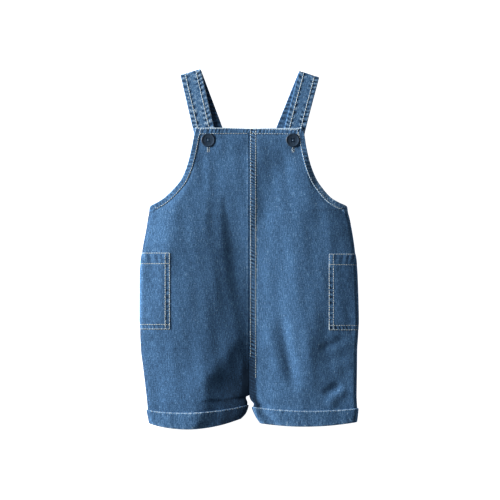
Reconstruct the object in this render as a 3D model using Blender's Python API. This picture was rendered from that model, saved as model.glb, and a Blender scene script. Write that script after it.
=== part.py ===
"""Child's bib dungarees in blue denim, laid flat on their back.

Frame: metres, +Z up, +Y towards the straps, +X towards the right-hand pocket seen from above.
The origin is the middle of the outline, at the height of the surface that they lie on.
Sizes in the tables are millimetres. Left and right are as seen from above.

Each half of the body is one front panel and one back panel that meet at the side. A point of a
panel is given by its height on the side line, its distance across from the side, and its depth
below the outer face, so pockets, cuffs and hems are made from the panel's points, moved out.
"""
import math

import bmesh
import bpy
import numpy as np
from mathutils import Matrix, Vector

MM = 0.001

# Cloth
CLOTH = 1.05  # wall of one layer of denim
GAP = 0.3  # between neighbouring pieces
HEM_RELIEF = 0.5  # how far a folded hem stands above the panel
SEAM_RELIEF = 0.22  # and the felled seam
SHARP_ANGLE = 40  # degrees; flatter edges are shaded smooth

# Side and inner-leg folds: a quarter of an ellipse on the front and one on the back
ROLL_WIDTH = 5.0
ROLL_FRONT = 2.6
ROLL_BACK = 2.45
FOLD_MIDDLE = ROLL_BACK + GAP  # height of the front panel's edge above the back panel's underside
INNER_FLAT = 0.65  # the inner leg's fold is flatter than the side's by this share
ROLL_ANGLES = (0, 30, 60, 90)

# Hems and seams of the front
TOP_HEM = 7.4
ARMHOLE_HEM = 7.4
SEAM_STRIP = 8.75  # felled seam down the middle, on the right-hand panel
STEP = 0.8  # width of the slope at the edge of a raised band
HEM_POINTS = 60  # points along the armhole edge from which its hem is measured
ROW_CLEAR = 1.5  # no other row of the mesh lies nearer the end of a hem or a panel

# Sections of the front, from the top hem down to the fold of the turn-up.
# height, side_x: the side line; mid_x, mid_y: the middle seam or inner leg; sag: how far the row
# bows down; fold, mid_fold: 1 where the edge rolls over to the back, 0 where it is a cut edge;
# edge_z, mid_z: heights of the outer face at the side line and at the middle; steps: rows of the
# mesh down to the next section. The last three sections run down the turn-up.
CUFF_SECTIONS = 3
SECTION_COLUMNS = (
    "height", "side_x", "mid_x", "mid_y", "sag", "fold", "edge_z", "mid_z", "mid_fold", "steps",
)
LEFT_SECTIONS = (
    (150.9, -66.9, -0.45, 149.6, 0.6, 0.0, 5.5, 3.8, 0.0, 1),
    (142.8, -68.7, -0.45, 142.0, 0.3, 0.0, 5.6, 4.6, 0.0, 2),
    (127.8, -71.6, -0.45, 127.5, 0.0, 0.0, 5.6, 5.8, 0.0, 2),
    (107.8, -76.3, -0.45, 107.0, 0.0, 0.0, 4.4, 6.8, 0.0, 2),
    (87.8, -84.0, -0.45, 86.0, 0.0, 0.0, 3.9, 6.6, 0.0, 2),
    (75.0, -93.8, -0.45, 71.0, 0.0, 0.0, 4.6, 6.6, 0.0, 2),
    (62.8, -106.5, -0.45, 55.0, 0.0, 0.0, 5.0, 6.6, 0.0, 1),
    (57.8, -114.0, -0.45, 48.0, 0.0, 0.15, 5.0, 6.5, 0.0, 2),
    (51.5, -124.0, -0.45, 40.0, 0.0, 0.6, 4.0, 6.4, 0.0, 1),
    (46.0, -124.5, -0.45, 33.5, 0.0, 1.0, 3.0, 6.3, 0.0, 2),
    (22.8, -128.9, -0.45, 15.0, 0.0, 1.0, 3.0, 6.0, 0.0, 2),
    (-5.3, -133.8, -0.45, -5.3, 0.0, 1.0, 3.0, 5.4, 0.0, 2),
    (-37.3, -136.2, -0.45, -37.3, 0.0, 1.0, 3.0, 4.8, 0.0, 4),
    (-101.4, -136.3, -0.45, -101.4, 0.0, 1.0, 3.0, 3.5, 0.0, 2),
    (-127.3, -135.3, -0.45, -127.3, -0.5, 1.0, 3.0, 3.1, 0.0, 2),
    (-147.3, -132.8, -0.45, -147.3, -1.0, 1.0, 3.0, 2.75, 0.0, 3),
    (-174.0, -129.6, -0.45, -172.0, -2.5, 1.0, 3.0, 2.65, 0.0, 2),
    (-186.0, -128.2, -0.8, -183.4, -4.0, 1.0, 3.0, 3.45, 0.0, 1),
    (-188.4, -128.0, -4.8, -186.0, -4.2, 1.0, 3.0, 3.7, 0.5, 1),
    (-191.5, -127.6, -3.4, -188.8, -4.6, 1.0, 3.0, 3.8, 0.9, 1),
    (-197.0, -127.1, -2.1, -192.6, -5.2, 1.0, 3.0, 3.8, 1.0, 1),
    (-201.6, -126.8, -2.2, -195.6, -5.8, 1.0, 3.0, 3.4, 1.0, 1),
    (-210.35, -125.2, -5.0, -205.0, -8.0, 1.0, 3.0, 3.4, 1.0, 1),
    (-219.1, -123.4, -12.0, -213.4, -9.2, 1.0, 3.0, 3.4, 1.0, 0),
)
RIGHT_SECTIONS = (
    (151.1, 65.6, -0.15, 149.6, 0.3, 0.0, 5.5, 3.8, 0.0, 1),
    (143.0, 68.7, -0.15, 142.0, 0.1, 0.0, 5.6, 4.6, 0.0, 2),
    (127.8, 71.2, -0.15, 127.5, 0.0, 0.0, 5.6, 5.8, 0.0, 2),
    (107.8, 75.8, -0.15, 107.0, 0.0, 0.0, 4.8, 6.8, 0.0, 2),
    (87.8, 83.3, -0.15, 86.0, 0.0, 0.0, 4.4, 6.6, 0.0, 2),
    (75.0, 91.6, -0.15, 71.0, 0.0, 0.0, 5.8, 6.6, 0.0, 2),
    (62.8, 102.6, -0.15, 55.0, 0.0, 0.0, 6.3, 6.6, 0.0, 1),
    (57.8, 110.8, -0.15, 48.0, 0.0, 0.15, 6.4, 6.5, 0.0, 2),
    (51.5, 122.2, -0.15, 40.0, 0.0, 0.6, 5.4, 6.4, 0.0, 1),
    (46.0, 122.8, -0.15, 33.5, 0.0, 1.0, 3.0, 6.3, 0.0, 2),
    (22.8, 128.3, -0.15, 15.0, 0.0, 1.0, 3.0, 6.0, 0.0, 2),
    (-6.5, 132.4, -0.15, -6.5, 0.0, 1.0, 3.0, 5.4, 0.0, 2),
    (-37.3, 134.8, -0.15, -37.3, 0.0, 1.0, 3.0, 4.8, 0.0, 4),
    (-102.5, 136.3, -0.15, -102.5, 0.0, 1.0, 3.0, 3.5, 0.0, 2),
    (-127.3, 135.0, -0.15, -127.3, -0.5, 1.0, 3.0, 3.1, 0.0, 2),
    (-147.3, 134.8, -0.15, -147.3, -1.0, 1.0, 3.0, 2.75, 0.0, 3),
    (-174.0, 134.4, -0.15, -172.5, -2.0, 1.0, 3.0, 2.65, 0.0, 2),
    (-186.0, 134.2, 0.2, -184.5, -2.6, 1.0, 3.0, 3.45, 0.0, 1),
    (-190.0, 134.4, 1.6, -189.0, -2.8, 1.0, 3.0, 3.7, 0.7, 1),
    (-196.0, 134.7, 5.8, -194.8, -3.4, 1.0, 3.0, 3.8, 1.0, 1),
    (-199.6, 134.9, 4.9, -198.0, -3.8, 1.0, 3.0, 3.4, 1.0, 1),
    (-208.45, 134.2, 8.8, -208.8, -4.4, 1.0, 3.0, 3.4, 1.0, 1),
    (-217.3, 133.1, 15.4, -219.0, -4.4, 1.0, 3.0, 3.4, 1.0, 0),
)

# How the front stands up over the body: distance from the middle, and height, of the foot of the
# middle valley, its slope, the crest and the shoulder, from the bib down to the turn-up.
FORM_COLUMNS = (
    "height", "foot_in", "foot_z", "slope_in", "slope_z", "crest_in", "crest_z", "shoulder_in", "shoulder_z",
)
LEFT_FORM = (
    (151.0, 14.0, 3.9, 34.0, 4.9, 50.0, 5.4, 58.0, 5.5),
    (128.0, 14.0, 6.5, 32.0, 6.6, 50.0, 5.5, 60.0, 5.7),
    (110.0, 16.0, 6.2, 36.0, 5.3, 56.0, 4.9, 66.0, 5.4),
    (90.0, 24.0, 6.0, 38.0, 5.7, 52.0, 5.4, 68.0, 6.0),
    (65.0, 26.0, 6.2, 36.0, 7.3, 54.0, 7.8, 82.0, 8.3),
    (40.0, 23.0, 6.5, 36.0, 8.4, 57.0, 9.6, 90.0, 10.5),
    (10.0, 18.0, 6.3, 34.0, 8.7, 60.0, 11.0, 90.0, 11.9),
    (-20.0, 14.0, 5.5, 32.0, 8.0, 60.0, 10.8, 90.0, 11.2),
    (-60.0, 10.0, 4.9, 30.0, 8.3, 60.0, 11.6, 92.0, 12.0),
    (-90.0, 9.0, 4.9, 31.0, 8.4, 60.0, 11.2, 92.0, 11.5),
    (-115.0, 10.0, 5.2, 31.0, 9.0, 60.0, 11.1, 90.0, 11.2),
    (-140.0, 10.0, 5.1, 28.0, 8.1, 58.0, 11.5, 90.0, 10.6),
    (-165.0, 11.0, 4.9, 30.0, 7.5, 58.0, 12.9, 88.0, 10.6),
    (-188.0, 13.0, 7.0, 33.0, 8.8, 57.0, 13.0, 92.0, 10.6),
    (-219.0, 13.0, 6.8, 38.0, 8.4, 62.0, 11.2, 94.0, 9.6),
)
RIGHT_FORM = (
    (151.0, 14.0, 3.9, 34.0, 4.8, 50.0, 5.3, 58.0, 5.4),
    (128.0, 24.0, 5.6, 40.0, 5.9, 54.0, 5.4, 62.0, 5.4),
    (110.0, 30.0, 5.3, 44.0, 4.8, 60.0, 6.3, 68.0, 6.2),
    (90.0, 28.0, 5.3, 44.0, 6.1, 62.0, 7.9, 72.0, 7.5),
    (65.0, 18.0, 6.1, 40.0, 7.0, 70.0, 9.2, 88.0, 8.3),
    (40.0, 8.0, 5.8, 34.0, 7.9, 64.0, 9.4, 96.0, 8.1),
    (10.0, 4.0, 5.7, 30.0, 7.7, 58.0, 10.2, 98.0, 9.5),
    (-20.0, 5.0, 4.9, 32.0, 7.5, 64.0, 10.9, 98.0, 10.5),
    (-60.0, 4.0, 4.1, 32.0, 6.6, 66.0, 10.8, 98.0, 10.0),
    (-90.0, 4.0, 3.3, 34.0, 6.5, 74.0, 11.5, 100.0, 9.3),
    (-115.0, 5.0, 2.6, 26.0, 5.6, 76.0, 10.0, 102.0, 8.7),
    (-140.0, 5.5, 2.45, 18.0, 3.9, 76.0, 8.7, 114.0, 6.0),
    (-165.0, 6.0, 2.45, 16.0, 4.1, 72.0, 8.8, 116.0, 6.2),
    (-188.0, 7.5, 3.7, 18.0, 5.6, 60.0, 9.3, 112.0, 7.6),
    (-219.0, 16.0, 5.4, 34.0, 9.0, 58.0, 10.2, 100.0, 9.0),
)

# Sections of the back: only its armholes differ from the front's side line.
UNDERARM = 46.0  # height on the side line where front and back meet
ARMHOLE_END = 51.5  # height at which the front's armhole hem meets the side
BACK_ARMHOLE_COLUMNS = ("height", "side_x", "mid_y", "fold")
BACK_ARMHOLE = (
    (109.5, 56.0, 109.5, 0.0),
    (97.8, 58.5, 96.0, 0.0),
    (75.0, 69.5, 71.0, 0.0),
    (60.0, 91.0, 52.0, 0.15),
    (53.0, 111.0, 42.5, 0.5),
)

# Largest folds of the front: a soft ridge (height above 0) or trough (below 0) from one point
# to another, bowed to its left by bow, width to each side of its middle line.
FOLD_COLUMNS = ("start_x", "start_y", "end_x", "end_y", "bow", "width", "height")
FOLDS = (
    (-52.0, 120.0, -55.0, 15.0, 2.0, 6.0, 0.5),
    (40.0, -74.0, 60.0, -182.0, -3.0, 8.0, -2.1),
    (72.0, -96.0, 78.0, -150.0, 0.0, 9.0, 0.6),
    (20.0, -78.0, 38.0, -168.0, 0.0, 6.0, 0.7),
    (126.0, -110.0, 84.0, -128.0, 0.0, 6.0, -1.0),
    (140.0, -138.0, 98.0, -152.0, 0.0, 8.0, 0.6),
    (118.0, -168.0, 90.0, -184.0, 0.0, 5.5, -1.2),
    (124.0, -172.0, 95.0, -198.0, 0.0, 6.5, 1.0),
    (-128.0, -108.0, -92.0, -122.0, -2.0, 6.0, -0.6),
    (0.0, -96.0, -66.0, -182.0, 0.0, 11.0, 0.9),
)
FOLD_TAPER = 0.3  # share of a fold's length in which it fades at each end
EDGE_CALM = 14.0  # folds fade out this far from a rolled edge

# Patch pockets, folded round the sides
POCKET_WALL = 1.2
POCKET_LIFT = GAP + POCKET_WALL
POCKET_HEM = 14.4
POCKET_RELIEF = 0.4
POCKETS = {"left": (-5.3, -101.4, 98.6), "right": (-6.5, -102.5, 99.0)}  # top, bottom, inner x
LIFT_MARGIN = 2.0
LIFT_FADE = 24.0

# Turn-ups at the legs
CUFF_WALL = 1.4
CUFF_LIFT = GAP + CUFF_WALL
CUFF_HEIGHT = 17.8
CUFF_RETURN = 4.8  # how far the turn-up runs up inside, to the panels' lower edge
CUFF_LIFT_FADE = 30.0

# Straps: each runs from under the bib over a flat fold at the top and down to the back
STRAP_WIDTH = 26.5
STRAP_WALL = 1.8
STRAP_FOLD = STRAP_WALL + GAP / 2  # outer radius of the fold at the top
STRAP_ROWS = 11
STRAP_LEVELLING = 6  # power with which a strap turns square to its fold near it
STRAP_COLUMNS = ("x", "y", "under_z")
STRAPS = {
    "left": {
        "front": ((-49.2, 123.5, 2.1), (-53.6, 137.0, 2.1), (-57.4, 151.5, 2.1), (-73.4, 220.4, 2.1)),
        "back": (
            (-73.4, 220.4, 0.0), (-46.2, 147.5, 0.0), (-37.7, 124.5, 0.0), (-34.9, 117.0, 1.35),
            (-28.3, 99.0, 1.35),
        ),
    },
    "right": {
        "front": ((51.6, 123.5, 2.1), (54.5, 137.0, 2.1), (57.4, 150.1, 2.1), (75.0, 217.6, 2.1)),
        "back": (
            (75.0, 217.6, 0.0), (46.3, 146.5, 0.0), (37.6, 124.5, 0.0), (34.6, 117.0, 1.35),
            (27.5, 99.0, 1.35),
        ),
    },
}

# Buttons: dished discs with a round rim and four holes
BUTTON_PLACES = {"left": (-51.3, 134.9), "right": (54.4, 134.8)}
BUTTON_RADIUS = 8.75
BUTTON_PROFILE = ((0.0, 0.0), (7.4, 0.0), (8.75, 1.1), (8.6, 2.3), (7.7, 3.1), (6.6, 2.9), (5.7, 2.0), (0.0, 1.8))
BUTTON_SIDES = 28
BUTTON_HOLES = 4
DRILL_SIDES = 10
DRILL_LENGTH = 10.0
RIM_POINTS = 16  # points under the rim from which the button's slope is taken
BUTTON_HOLE = 1.0
BUTTON_HOLE_SPACING = 3.1

DENIM_COLOUR = (0.062, 0.125, 0.225, 1.0)
BUTTON_COLOUR = (0.012, 0.020, 0.035, 1.0)


# --- Scene and materials ----------------------------------------------------------------------

for old in list(bpy.data.objects):
    bpy.data.objects.remove(old, do_unlink=True)


def new_collection(name):
    collection = bpy.data.collections.new(name)
    bpy.context.scene.collection.children.link(collection)
    return collection


garment = new_collection("kids_dungarees")
cutters = new_collection("cutters")


def new_material(name, colour, roughness):
    material = bpy.data.materials.new(name)
    material.use_nodes = True
    shader = material.node_tree.nodes["Principled BSDF"]
    shader.inputs["Base Color"].default_value = colour
    shader.inputs["Roughness"].default_value = roughness
    shader.inputs["Metallic"].default_value = 0.0
    return material


denim = new_material("denim", DENIM_COLOUR, 0.9)
button_plastic = new_material("button_plastic", BUTTON_COLOUR, 0.4)


# --- Tables and curves ------------------------------------------------------------------------

def table_column(table, columns, name):
    place = columns.index(name)
    return np.array([row[place] for row in table], float)


def monotone_slopes(rise):
    """Slopes at the stations from the rises between them, so that a curve never overshoots."""
    before, after = rise[..., :-1], rise[..., 1:]
    same_way = before * after > 0
    total = np.where(same_way, before + after, 1.0)
    inner = np.where(same_way, 2 * before * after / total, 0.0)
    return np.concatenate((rise[..., :1], inner, rise[..., -1:]), axis=-1)


def hermite(t, length, value, next_value, slope, next_slope):
    return (
        value * (1 + 2 * t) * (1 - t) ** 2
        + length * slope * t * (1 - t) ** 2
        + next_value * t * t * (3 - 2 * t)
        - length * next_slope * t * t * (1 - t)
    )


def smooth_curve(stations, values, at):
    """Monotone cubic through the values at rising stations."""
    stations, values = np.asarray(stations, float), np.asarray(values, float)
    length = np.diff(stations)
    slope = monotone_slopes(np.diff(values) / length)
    at = np.clip(at, stations[0], stations[-1])
    span = np.clip(np.searchsorted(stations, at, side="right") - 1, 0, len(length) - 1)
    t = (at - stations[span]) / length[span]
    return hermite(t, length[span], values[span], values[span + 1], slope[span], slope[span + 1])


def level_curve(places, levels, at):
    """The same, where each point has its own stations and levels, along the last axis."""
    length = np.diff(places, axis=-1)
    slope = monotone_slopes(np.diff(levels, axis=-1) / length)
    span = np.clip((at[..., None] >= places[..., 1:-1]).sum(axis=-1), 0, length.shape[-1] - 1)

    def pick(array, place):
        return np.take_along_axis(array, place[..., None], axis=-1)[..., 0]

    t = (np.clip(at, places[..., 0], places[..., -1]) - pick(places, span)) / pick(length, span)
    return hermite(
        t, pick(length, span), pick(levels, span), pick(levels, span + 1), pick(slope, span), pick(slope, span + 1)
    )


def eased(x):
    x = np.clip(x, 0.0, 1.0)
    return x * x * (3 - 2 * x)


def plateau(x, low, high, fade):
    """1 between low and high, fading to 0 over the distance fade outside them."""
    return eased(1 - np.maximum(low - x, 0) / fade) * eased(1 - np.maximum(x - high, 0) / fade)


class Half:
    """The left or right half of the body, as curves of the height on its side line."""

    def __init__(self, name, sign, sections, form):
        self.name = name
        self.sign = sign  # -1 left, +1 right: x of the side line
        self.sections = sections
        self.form = form
        self.stations = table_column(sections, SECTION_COLUMNS, "height")[::-1]
        self.form_stations = table_column(form, FORM_COLUMNS, "height")[::-1]
        self.cuff_top = sections[-CUFF_SECTIONS][0]
        self.cuff_end = sections[-1][0]

    def curve(self, column, height):
        if column in FORM_COLUMNS[1:]:
            return smooth_curve(self.form_stations, table_column(self.form, FORM_COLUMNS, column)[::-1], height)
        return smooth_curve(self.stations, table_column(self.sections, SECTION_COLUMNS, column)[::-1], height)

    def mesh_heights(self):
        steps = table_column(self.sections, SECTION_COLUMNS, "steps").astype(int)
        heights = self.stations[::-1]
        rows = [np.linspace(heights[i], heights[i + 1], steps[i] + 1) for i in range(len(heights) - 1)]
        return np.unique(np.concatenate(rows))[::-1]


halves = {
    "left": Half("left", -1.0, LEFT_SECTIONS, LEFT_FORM),
    "right": Half("right", 1.0, RIGHT_SECTIONS, RIGHT_FORM),
}


# --- The surface of the body ------------------------------------------------------------------

def back_curve(half, column, height):
    """A curve of the back: its own armhole above the underarm, the front's side line below."""
    below = half.stations[half.stations <= UNDERARM]
    armhole = table_column(BACK_ARMHOLE, BACK_ARMHOLE_COLUMNS, column)[::-1]
    armhole = armhole * half.sign if column == "side_x" else armhole
    stations = np.concatenate((below, table_column(BACK_ARMHOLE, BACK_ARMHOLE_COLUMNS, "height")[::-1]))
    return smooth_curve(stations, np.concatenate((half.curve(column, below), armhole)), height)


def lift(half, height, across):
    """How far the back panel is held off the surface by the pocket and the turn-up under it."""
    top, bottom, inner_x = POCKETS[half.name]
    reach = abs(half.curve("side_x", height)) - inner_x
    pocket = plateau(height, bottom - LIFT_MARGIN, top + LIFT_MARGIN, LIFT_FADE)
    pocket = pocket * plateau(across, -1.0, reach + LIFT_MARGIN, LIFT_FADE)
    cuff = plateau(height, half.cuff_end, half.cuff_top + LIFT_MARGIN, CUFF_LIFT_FADE)
    return np.maximum(POCKET_LIFT * pocket, CUFF_LIFT * cuff)


def fold_height(x, y):
    total = np.zeros_like(x)
    for row in FOLDS:
        fold = dict(zip(FOLD_COLUMNS, row))
        run = np.array((fold["end_x"] - fold["start_x"], fold["end_y"] - fold["start_y"]))
        length = np.hypot(*run)
        along_x, along_y = run / length
        dx, dy = x - fold["start_x"], y - fold["start_y"]
        t = (dx * along_x + dy * along_y) / length
        off = dy * along_x - dx * along_y - fold["bow"] * 4 * t * (1 - t)
        fade = eased(t / FOLD_TAPER) * eased((1 - t) / FOLD_TAPER)
        total += fold["height"] * fade * np.exp(-(off / fold["width"]) ** 2)
    return total


def roll(across):
    """Cosine and sine of the angle round a rolled edge, at a distance from that edge."""
    cosine = np.clip(1 - across / ROLL_WIDTH, 0.0, 1.0)
    return cosine, np.sqrt(1 - cosine ** 2)


def across_place(half, curve, height, across):
    """Plan position: square in from the side line for a hem's width, then straight to the middle."""
    side_x, mid_x, mid_y = curve("side_x", height), half.curve("mid_x", height), curve("mid_y", height)
    slope = (curve("side_x", height + 0.5) - curve("side_x", height - 0.5)) * (1 - curve("fold", height))
    size = np.hypot(1.0, slope)
    in_x, in_y = -half.sign / size, half.sign * slope / size
    width = abs(mid_x - side_x)
    hem = np.minimum(across, ARMHOLE_HEM)
    rest = (across - hem) / (width - ARMHOLE_HEM)
    x = side_x + in_x * hem + (mid_x - side_x - in_x * ARMHOLE_HEM) * rest
    y = height + in_y * hem + (mid_y - height - in_y * ARMHOLE_HEM) * rest
    share = across / width
    return x, y + half.curve("sag", height) * 4 * share * (1 - share), width


def front_point(half, height, across, depth):
    """Point of the front at a depth below its outer face; a depth below 0 is outside it."""
    height, across, depth = np.broadcast_arrays(height, across, depth)
    fold, mid_fold = half.curve("fold", height), half.curve("mid_fold", height)
    x, y, width = across_place(half, half.curve, height, across)
    side_cos, side_sin = roll(across)
    mid_cos, mid_sin = roll(width - across)
    edge_z = (1 - fold) * half.curve("edge_z", height) + fold * (lift(half, height, 0.0) + FOLD_MIDDLE)
    inner_edge = lift(half, height, width) + INNER_FLAT * ROLL_BACK + GAP
    mid_z = (1 - mid_fold) * half.curve("mid_z", height) + mid_fold * inner_edge
    knots = ("foot", "slope", "crest", "shoulder")
    places = [0 * width] + [half.curve(knot + "_in", height) for knot in knots] + [width]
    levels = [mid_z + mid_fold * INNER_FLAT * ROLL_FRONT] + [half.curve(knot + "_z", height) for knot in knots]
    levels.append(edge_z + fold * ROLL_FRONT)
    z = level_curve(np.stack(places, axis=-1), np.stack(levels, axis=-1), width - across)
    calm = 1 - fold * (1 - eased(across / EDGE_CALM))
    calm = calm * (1 - mid_fold * (1 - eased((width - across) / EDGE_CALM)))
    z = z + fold_height(x, y) * calm
    z = z - ROLL_FRONT * (fold * (1 - side_sin) + INNER_FLAT * mid_fold * (1 - mid_sin))
    inward = -half.sign * depth * (fold * side_cos - mid_fold * mid_cos)
    down = depth * (1 - fold * (1 - side_sin) - mid_fold * (1 - mid_sin))
    return np.stack((x + inward, y, z - down), axis=-1)


def back_point(half, height, across, depth):
    """Point of the back at a depth above its outer face, which is its underside."""
    height, across, depth = np.broadcast_arrays(height, across, depth)

    def curve(column, at):
        return back_curve(half, column, at)

    fold, mid_fold = curve("fold", height), half.curve("mid_fold", height)
    x, y, width = across_place(half, curve, height, across)
    side_cos, side_sin = roll(across)
    mid_cos, mid_sin = roll(width - across)
    rolled = fold * (1 - side_sin) + INNER_FLAT * mid_fold * (1 - mid_sin)
    z = lift(half, height, across) + ROLL_BACK * rolled
    inward = -half.sign * depth * (fold * side_cos - mid_fold * mid_cos)
    up = depth * (1 - fold * (1 - side_sin) - mid_fold * (1 - mid_sin))
    return np.stack((x + inward, y, z + up), axis=-1)


# --- Walls ------------------------------------------------------------------------------------

def finish_object(name, mesh_builder, material, collection=garment):
    mesh = bpy.data.meshes.new(name)
    mesh_builder.to_mesh(mesh)
    mesh_builder.free()
    mesh.materials.append(material)
    mesh.shade_smooth()
    mesh.set_sharp_from_angle(angle=math.radians(SHARP_ANGLE))
    piece = bpy.data.objects.new(name, mesh)
    collection.objects.link(piece)
    return piece


def grid_index(vertex, rows, columns):
    """Row and column of a vertex of a unit grid, before it is moved to its place."""
    column = round((vertex.co.x + 0.5) * (columns - 1))
    row = round((vertex.co.y + 0.5) * (rows - 1))
    return row, column


def wall(name, outer, inner, material=denim):
    """A closed wall between two grids of points of the same size."""
    rows, columns = outer.shape[:2]
    builder = bmesh.new()
    bmesh.ops.create_grid(builder, x_segments=columns - 1, y_segments=rows - 1, size=0.5)
    lining = bmesh.ops.extrude_face_region(builder, geom=builder.faces[:], use_keep_orig=True)
    lining = {part for part in lining["geom"] if isinstance(part, bmesh.types.BMVert)}
    places = {vertex: grid_index(vertex, rows, columns) for vertex in builder.verts}
    for vertex, place in places.items():
        vertex.co = Vector((inner if vertex in lining else outer)[place]) * MM
    bmesh.ops.recalc_face_normals(builder, faces=builder.faces)
    return finish_object(name, builder, material)


def ring(name, points, material=denim):
    """A closed ring from a grid that meets itself both ways: last row and column repeat the first."""
    rows, columns = points.shape[:2]
    builder = bmesh.new()
    bmesh.ops.create_grid(builder, x_segments=columns - 1, y_segments=rows - 1, size=0.5)
    places = {vertex: grid_index(vertex, rows, columns) for vertex in builder.verts}
    for vertex, place in places.items():
        vertex.co = Vector(points[place]) * MM
    bmesh.ops.remove_doubles(builder, verts=builder.verts, dist=0.00001)
    bmesh.ops.recalc_face_normals(builder, faces=builder.faces)
    return finish_object(name, builder, material)


def roll_columns():
    """Distances from a rolled edge at equal angles round the roll."""
    return ROLL_WIDTH * (1 - np.cos(np.radians(ROLL_ANGLES)))


def panel_columns(width, middle, hem, seam):
    """Distances across for one row: edge, hem, middle, seam."""
    near = np.unique(np.concatenate((roll_columns(), [hem - STEP, hem])))
    far = width - np.unique(np.concatenate((roll_columns(), [seam - STEP, seam])))[::-1]
    between = np.linspace(hem, far[0], middle + 1)[1:-1]
    return np.concatenate((near, between, far))


def back_columns(width):
    edge = np.append(roll_columns(), ARMHOLE_HEM)
    middle = np.linspace(ARMHOLE_HEM, width - ROLL_WIDTH, BACK_MIDDLE + 1)[1:]
    return np.concatenate((edge, middle, width - roll_columns()[-2::-1]))


def hem_distance(half, x, y):
    """Distance to the armhole edge, which is drawn on past the side so that the hem runs out there."""
    heights = np.linspace(half.stations[-1], ARMHOLE_END, HEM_POINTS)
    edge = np.stack((half.curve("side_x", heights), heights), axis=-1)
    beyond = edge[-1] + (edge[-1] - edge[-4]) * 4
    edge = np.vstack((edge, beyond))
    distance = np.full(x.shape, 1e9)
    for start, end in zip(edge[:-1], edge[1:]):
        run = end - start
        t = ((x - start[0]) * run[0] + (y - start[1]) * run[1]) / (run @ run)
        t = np.clip(t, 0, 1)
        distance = np.minimum(distance, np.hypot(x - start[0] - t * run[0], y - start[1] - t * run[1]))
    return distance


def raised(distance, width):
    return eased((width - distance) / STEP)


# --- Front and back panels --------------------------------------------------------------------

FRONT_MIDDLE = 8
BACK_MIDDLE = 5
PANEL_SHARE = 1 - CUFF_RETURN / CUFF_HEIGHT  # the panels end this far down the turn-up


def panel_end(half):
    return half.cuff_top + (half.cuff_end - half.cuff_top) * PANEL_SHARE


def front_panel(half):
    top = half.stations[-1]
    heights = half.mesh_heights()
    heights = heights[(heights > panel_end(half) + ROW_CLEAR) & (heights < top - TOP_HEM - ROW_CLEAR)]
    extra = [top, top - TOP_HEM / 2, top - TOP_HEM + STEP, top - TOP_HEM, panel_end(half)]
    heights = np.unique(np.concatenate((heights, extra)))[::-1]
    widths = abs(half.curve("mid_x", heights) - half.curve("side_x", heights))
    across = np.array([panel_columns(w, FRONT_MIDDLE, ARMHOLE_HEM, SEAM_STRIP) for w in widths])
    rows = heights[:, None]
    plain = front_point(half, rows, across, 0.0)
    armhole = raised(hem_distance(half, plain[..., 0], plain[..., 1]), ARMHOLE_HEM)
    relief = HEM_RELIEF * np.maximum(raised(top - rows, TOP_HEM), armhole)
    if half.name == "right":
        above_crotch = 1 - half.curve("mid_fold", rows)
        strip = above_crotch * raised(widths[:, None] - across, SEAM_STRIP)
        relief = np.maximum(relief, SEAM_RELIEF * strip)
    outer = front_point(half, rows, across, -relief)
    inner = front_point(half, rows, across, CLOTH)
    return wall("front_" + half.name, outer, inner)


def back_panel(half):
    armhole = table_column(BACK_ARMHOLE, BACK_ARMHOLE_COLUMNS, "height")
    side = half.mesh_heights()
    side = side[(side <= UNDERARM) & (side > panel_end(half) + ROW_CLEAR)]
    heights = np.concatenate((armhole, side, [panel_end(half)]))
    widths = abs(half.curve("mid_x", heights) - back_curve(half, "side_x", heights))
    across = np.array([back_columns(width) for width in widths])
    outer = back_point(half, heights[:, None], across, 0.0)
    inner = back_point(half, heights[:, None], across, CLOTH)
    return wall("back_" + half.name, outer, inner)


for half in halves.values():
    front_panel(half)
    back_panel(half)


# --- Pockets ----------------------------------------------------------------------------------

POCKET_MIDDLE = 4
POCKET_ROWS = 8


def pocket(half):
    top, bottom, inner_x = POCKETS[half.name]
    hem = [top, top - POCKET_HEM / 2, top - POCKET_HEM + STEP, top - POCKET_HEM]
    heights = np.concatenate((hem, np.linspace(top - POCKET_HEM, bottom, POCKET_ROWS)[1:]))[:, None]
    reach = abs(half.curve("side_x", heights)) - inner_x
    share = np.linspace(1, 0, POCKET_MIDDLE + 1)[:-1]
    flat = ROLL_WIDTH + (reach - ROLL_WIDTH) * share
    across = np.hstack((flat, np.repeat(roll_columns()[::-1][None, :], len(heights), axis=0)))
    relief = POCKET_RELIEF * raised(top - heights, POCKET_HEM)

    def layer(front_depth, back_depth):
        front = front_point(half, heights, across, front_depth)
        back = back_point(half, heights, across, back_depth)
        return np.concatenate((front, back[:, ::-1]), axis=1)

    face = -(GAP + POCKET_WALL)
    return wall("pocket_" + half.name, layer(face - relief, face), layer(-GAP, -GAP))


for half in halves.values():
    pocket(half)


# --- Turn-ups ---------------------------------------------------------------------------------

TURN_STEPS = 4


def cuff_profile():
    """Closed J section: distance down from the upper edge, and distance out from the panel's face."""
    centre = (GAP + CUFF_WALL - CLOTH) / 2  # middle of the U turn, out from the panel's face
    radius = (GAP + CUFF_WALL + CLOTH) / 2
    turn = [
        (CUFF_HEIGHT - radius + radius * math.sin(a), centre + radius * math.cos(a))
        for a in np.linspace(0, math.pi, TURN_STEPS + 1)
    ]
    inside = CUFF_HEIGHT - radius
    panel_end = CUFF_HEIGHT - CUFF_RETURN
    stub = panel_end + GAP
    face = [(0.0, GAP + CUFF_WALL), (CUFF_HEIGHT / 2, GAP + CUFF_WALL), (panel_end, GAP + CUFF_WALL)]
    return [(0.0, GAP)] + face + turn + [
        (stub, -CLOTH),
        (stub, 0.0),
        (inside, 0.0),
        (inside, GAP),
        (panel_end, GAP),
        (CUFF_HEIGHT / 2, GAP),
        (0.0, GAP),
    ]


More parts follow.
